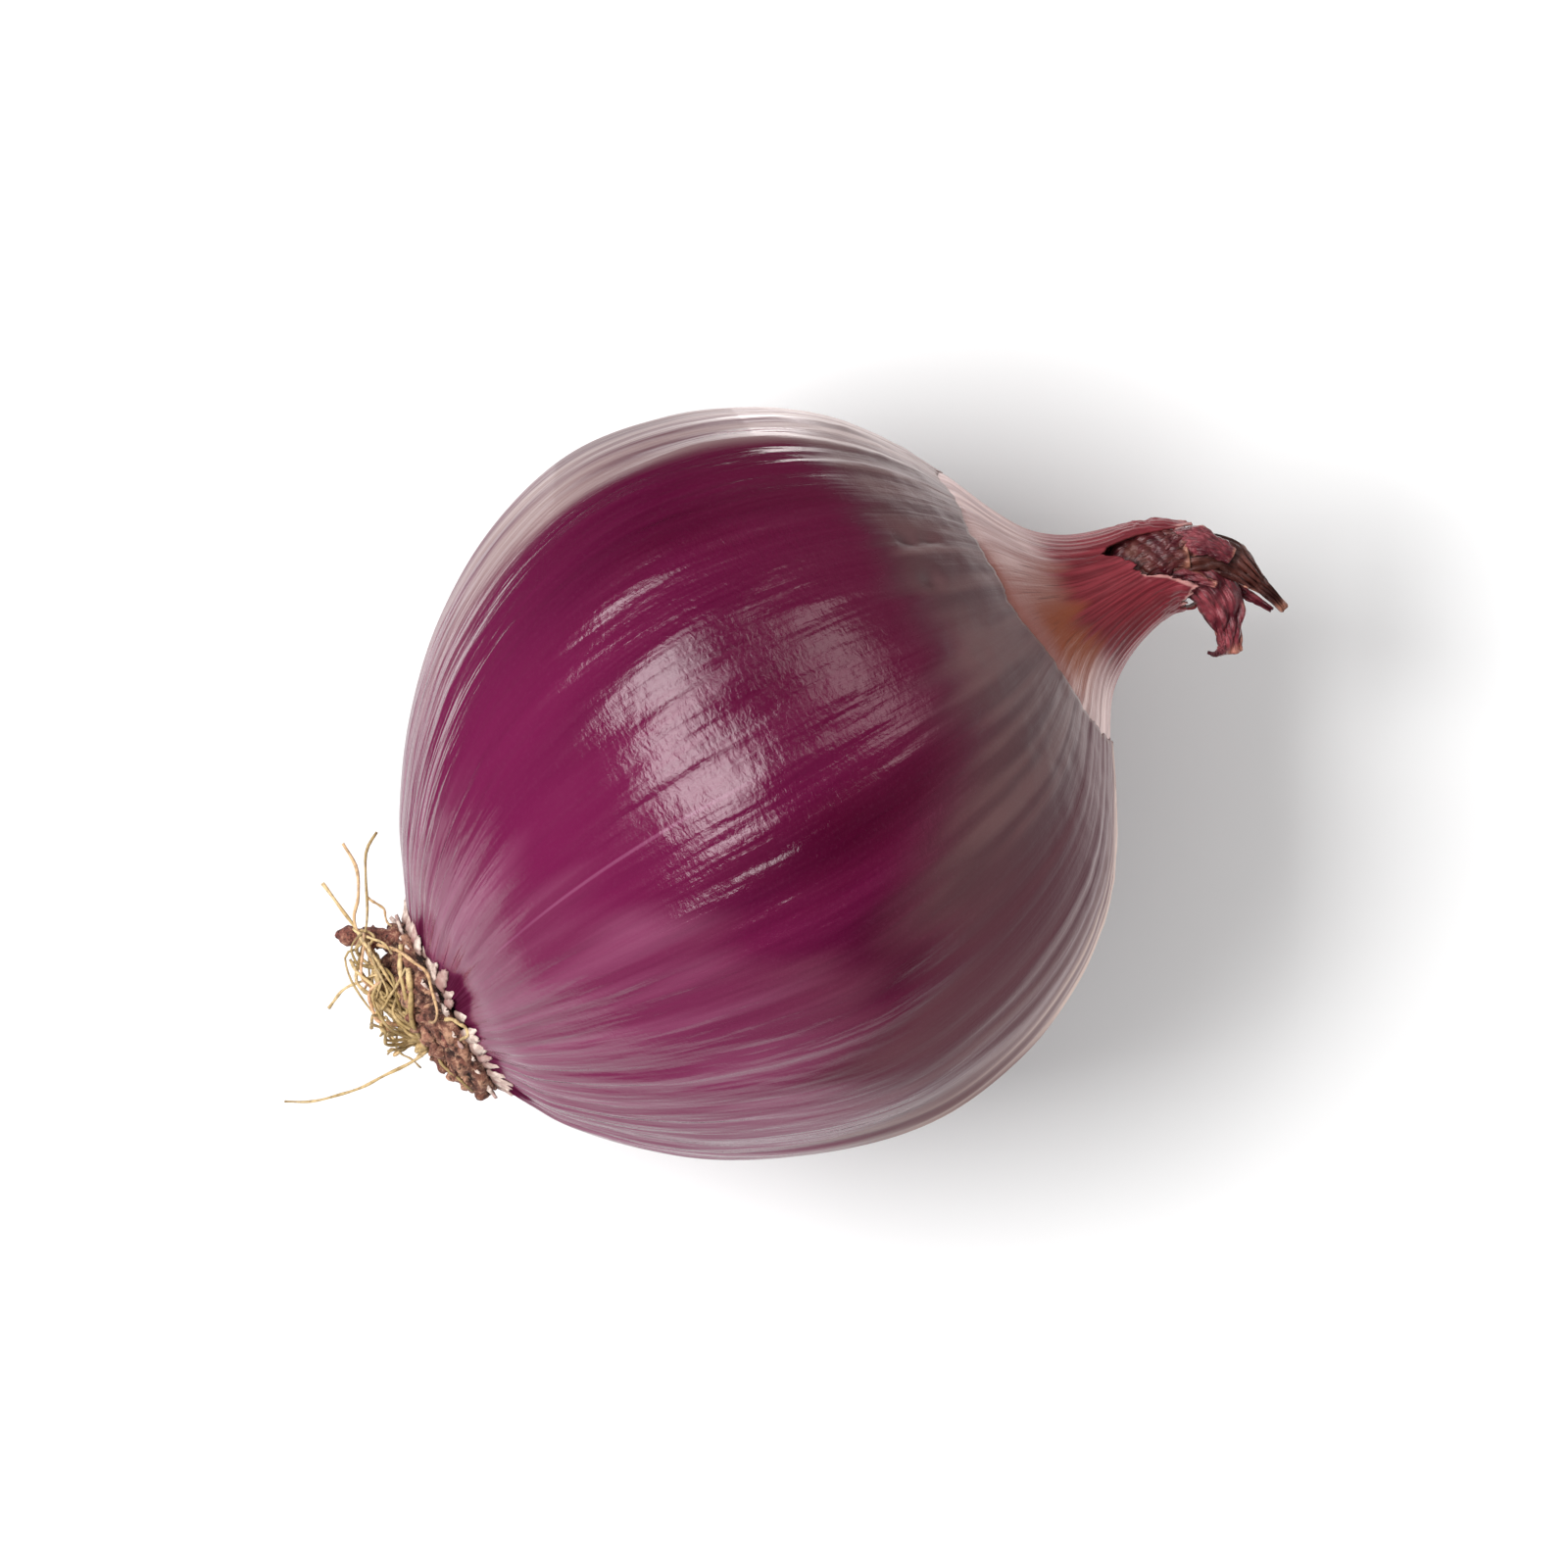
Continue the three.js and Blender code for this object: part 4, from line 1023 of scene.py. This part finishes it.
def short_root(angle, pick):
    length = pick(4.5, 8.0)
    lift = pick(1.2, 3.0)
    twist = pick(-0.3, 0.3)
    _, y0, z0 = CROWN_CENTRE

    def at(x, share, turn):
        y = y0 + 0.45 * share * length * (math.cos(angle + turn) + 0.9)
        return x, y, z0 + share * length * math.sin(angle + turn)

    return [
        at(CROWN_X - 0.1, 0.1, 0), at(CROWN_X - lift, 0.45, 0),
        at(CROWN_X - 0.8 * lift, 0.8, twist), at(CROWN_X - 1.1 * lift, 1, 2 * twist),
    ]


def make_roots():
    pick = seeded(41).uniform
    bunch = Bunch()
    paths = [(points, size) for size, points in LONG_ROOTS]
    paths += [(tuft_root(pick), pick(0.13, 0.24)) for _ in range(TUFT_ROOTS)]
    paths += [
        (short_root(FULL_TURN * (k + pick(0, 0.5)) / SHORT_ROOTS, pick), pick(0.13, 0.2))
        for k in range(SHORT_ROOTS)
    ]
    share = np.linspace(0, 1, ROOT_STEPS)
    for points, size in paths:
        path = curve_through([(x, y, z + AXIS_HEIGHT) for x, y, z in points], ROOT_STEPS)
        phase = pick(0, 6, 3)
        wobble = 0.07 * np.sin(np.outer(share, [13, 17, 15]) + phase)
        radius = 1.12 * size * (1 - 0.3 * share) * (1 + 0.14 * np.sin(31 * share + phase[0]))
        fibre = tube(path + wobble, radius, ROOT_SIDES)
        bunch.add(*fibre, own=pick(0, 1), share=np.repeat(share, ROOT_SIDES))
    # The crown that the fibres come from
    for _ in range(CROWN_FIBRES):
        angle = pick(0, FULL_TURN)
        out_y, out_z = math.cos(angle), math.sin(angle)
        start = np.array(CROWN_CENTRE) + [0.6, 0.9 * out_y, 0.9 * out_z]
        end = start + np.array([-1.6, 1.7 * out_y + 1.0, 1.7 * out_z]) * pick(0.4, 1.0)
        middle = (start + end) / 2 + pick(-0.3, 0.3, 3)
        radius = 0.34 * np.array([0.8, 1.1, 1.2, 1.1, 1.0, 0.8, 0.4])
        path = curve_through([start, middle, end], len(radius)) + [0, 0, AXIS_HEIGHT]
        bunch.add(*tube(path, radius), own=pick(0, 0.35), share=0.0)
    return bunch.piece("onion_roots")


def root_material():
    n = Nodes("root_fibre")
    place = n.place()
    fibres, patches = n.noise(place, 2200, 3, 0.6), n.noise(place, 260, 3, 0.6)
    own, share = n.attributes("own", "share")
    colour = n.blend(n.ranged(patches, 0.35, 0.65), STRAW_DARK, STRAW_LIGHT)
    colour = n.tint(colour, n.ranged(own, 0.7, 0.95), 0.7, ROOT_PINK)
    colour = n.tint(colour, n.ranged(own, 0.22, 0.05), 0.75, ROOT_OLIVE)
    colour = n.tint(colour, n.ranged(fibres, 0.55, 0.35), 0.5, ROOT_FIBRE)
    colour = n.tint(colour, n.ranged(share, 0.8, 1.0), 0.45, ROOT_TIP)
    return n.finish(colour, 0.72, n.bump(fibres, 0.0001, 0.6))


roots = make_roots()
dress(roots, root_material(), "roots")

# Camera, straight above, turned so that the bulb's axis rises to the right

PHOTO_WIDTH = 1600
MM_PER_PIXEL = 80 / 772
AXIS_TILT = math.radians(29)
BULB_CENTRE_PIXEL = (775, 800)
CAMERA_DISTANCE = 900.0
SENSOR = 36.0

right = Vector((math.cos(AXIS_TILT), -math.sin(AXIS_TILT), 0))
up = Vector((math.sin(AXIS_TILT), math.cos(AXIS_TILT), 0))


def studio_way(to_right, to_top, to_camera):
    """A direction given as seen in the picture."""
    return (right * to_right + up * to_top + Vector((0, 0, to_camera))).normalized()


camera_data = bpy.data.cameras.new("camera")
camera_data.sensor_width = SENSOR
camera_data.lens = SENSOR * CAMERA_DISTANCE / (PHOTO_WIDTH * MM_PER_PIXEL)
camera_data.clip_start = 0.01
camera = placed("camera", camera_data)
off_right, off_down = ((PHOTO_WIDTH / 2 - pixel) * MM_PER_PIXEL for pixel in BULB_CENTRE_PIXEL)
centre = right * off_right - up * off_down
camera.location = (centre + Vector((0, 0, AXIS_HEIGHT + CAMERA_DISTANCE))) * MM
camera.rotation_euler = (0, 0, -AXIS_TILT)
bpy.context.scene.camera = camera

# Studio: pale floor and soft panels

KEY_RADIANCE = 17.0
SKY = 0.72
WHITE, WARM, CARD_TINT = (1, 1, 1), (1.0, 0.87, 0.85), (1.0, 0.92, 0.9)
WINDOW_ROLL = math.radians(14)
CARD_DISTANCE, CARD_LIFT = 0.052, 0.001


def floor_material():
    n = Nodes("pale_floor")
    colour = n.blend(n.noise(n.place(), 30, 2, 0.5), (0.84, 0.84, 0.84), (0.87, 0.87, 0.87))
    return n.finish(colour, 0.9, n.bump(n.noise(n.place(), 900, 2, 0.5), 0.00005, 0.2))


FLOOR_HALF = 1600.0
floor_corners = FLOOR_HALF * np.array([(-1, -1, 0), (1, -1, 0), (1, 1, 0), (-1, 1, 0)])
floor = new_piece("floor", floor_corners, [(0, 1, 2, 3)])
floor.data.materials.append(floor_material())


def soft_panel(name, place, width, height, radiance, tint, lights, reflects):
    """A rectangle that lights or is mirrored, as bright as its radiance says."""
    light = bpy.data.lights.new(name, "AREA")
    light.shape = "RECTANGLE"
    light.size, light.size_y = width, height
    light.energy = radiance * math.pi * width * height
    light.color = tint
    lamp = placed(name, light)
    lamp.matrix_world = place
    lamp.visible_camera = False
    lamp.visible_diffuse = lights
    lamp.visible_glossy = reflects


def turned(side, top, way, location):
    return Matrix.Translation(location) @ Matrix((side, top, way)).transposed().to_4x4()


def panel(name, way, distance, width, height, radiance, roll=0.0, tint=WHITE, lights=False):
    """A panel over the onion that either lights it or is mirrored in it."""
    level = up.cross(way).normalized()
    side = level * math.cos(roll) + way.cross(level) * math.sin(roll)
    location = Vector((0, 0, AXIS_HEIGHT)) * MM + way * distance
    place = turned(side, way.cross(side), way, location)
    soft_panel(name, place, width, height, radiance, tint, lights, not lights)


def low_card(name, to_right, to_top, length, depth, radiance):
    """A card that lies on the floor, its near edge at the onion, and that only reflections see."""
    outward = (right * to_right + up * to_top).normalized()
    along = Vector((0, 0, 1)).cross(outward)
    location = outward * (CARD_DISTANCE + depth / 2) + Vector((0, 0, CARD_LIFT))
    place = turned(along, outward, along.cross(outward), location)
    soft_panel(name, place, length, depth, radiance, CARD_TINT, False, True)


# What lights the onion and the floor, from the left
panel("key", studio_way(-0.50, 0.03, 0.86), 0.7, 0.26, 0.36, KEY_RADIANCE, lights=True)
# What the glossy skin mirrors: two soft windows above, and white card low round the onion
panel("left_window", studio_way(-0.44, 0.19, 0.87), 0.5, 0.36, 0.68, 3.7, WINDOW_ROLL)
panel("left_core", studio_way(-0.47, 0.12, 0.87), 0.45, 0.18, 0.42, 4.8, WINDOW_ROLL)
panel("neck_side_window", studio_way(0.41, 0.66, 0.64), 0.5, 0.29, 0.44, 1.5, tint=WARM)
panel("neck_side_core", studio_way(0.40, 0.64, 0.65), 0.45, 0.14, 0.28, 1.4, tint=WARM)
low_card("card_upper_left", -0.6, 0.8, 0.12, 0.045, 0.6)
low_card("card_top", 0.0, 1.0, 0.12, 0.045, 3.6)
low_card("card_right", 0.98, -0.1, 0.12, 0.035, 2.4)


def black_card():
    """A black card bent round the upper left, which darkens reflections inside the pale rim."""
    steps = 24
    radius, low_edge, top_edge = 95, 0.5, 125.0
    angles = np.radians(np.linspace(40, 190, steps)) - AXIS_TILT
    ring = np.stack([radius * np.cos(angles), radius * np.sin(angles)], -1)
    points = [(x, y, z) for z in (low_edge, top_edge) for x, y in ring]
    faces = [(k, k + 1, steps + k + 1, steps + k) for k in range(steps - 1)]
    card = new_piece("black_card", points, faces)
    n = Nodes("black_card")
    n.fill(n.shader, Base_Color=(0.01, 0.01, 0.01), Roughness=1.0)
    card.data.materials.append(n.material)
    card.visible_camera = False
    card.visible_diffuse = False
    card.visible_transmission = False
    card.visible_shadow = False


black_card()

world = bpy.data.worlds.new("studio")
bpy.context.scene.world = world
world.use_nodes = True
background = world.node_tree.nodes["Background"]
background.inputs["Color"].default_value = (SKY, SKY, SKY, 1)
background.inputs["Strength"].default_value = 1.0
world.cycles_visibility.glossy = False
bpy.context.scene.view_settings.view_transform = "Standard"
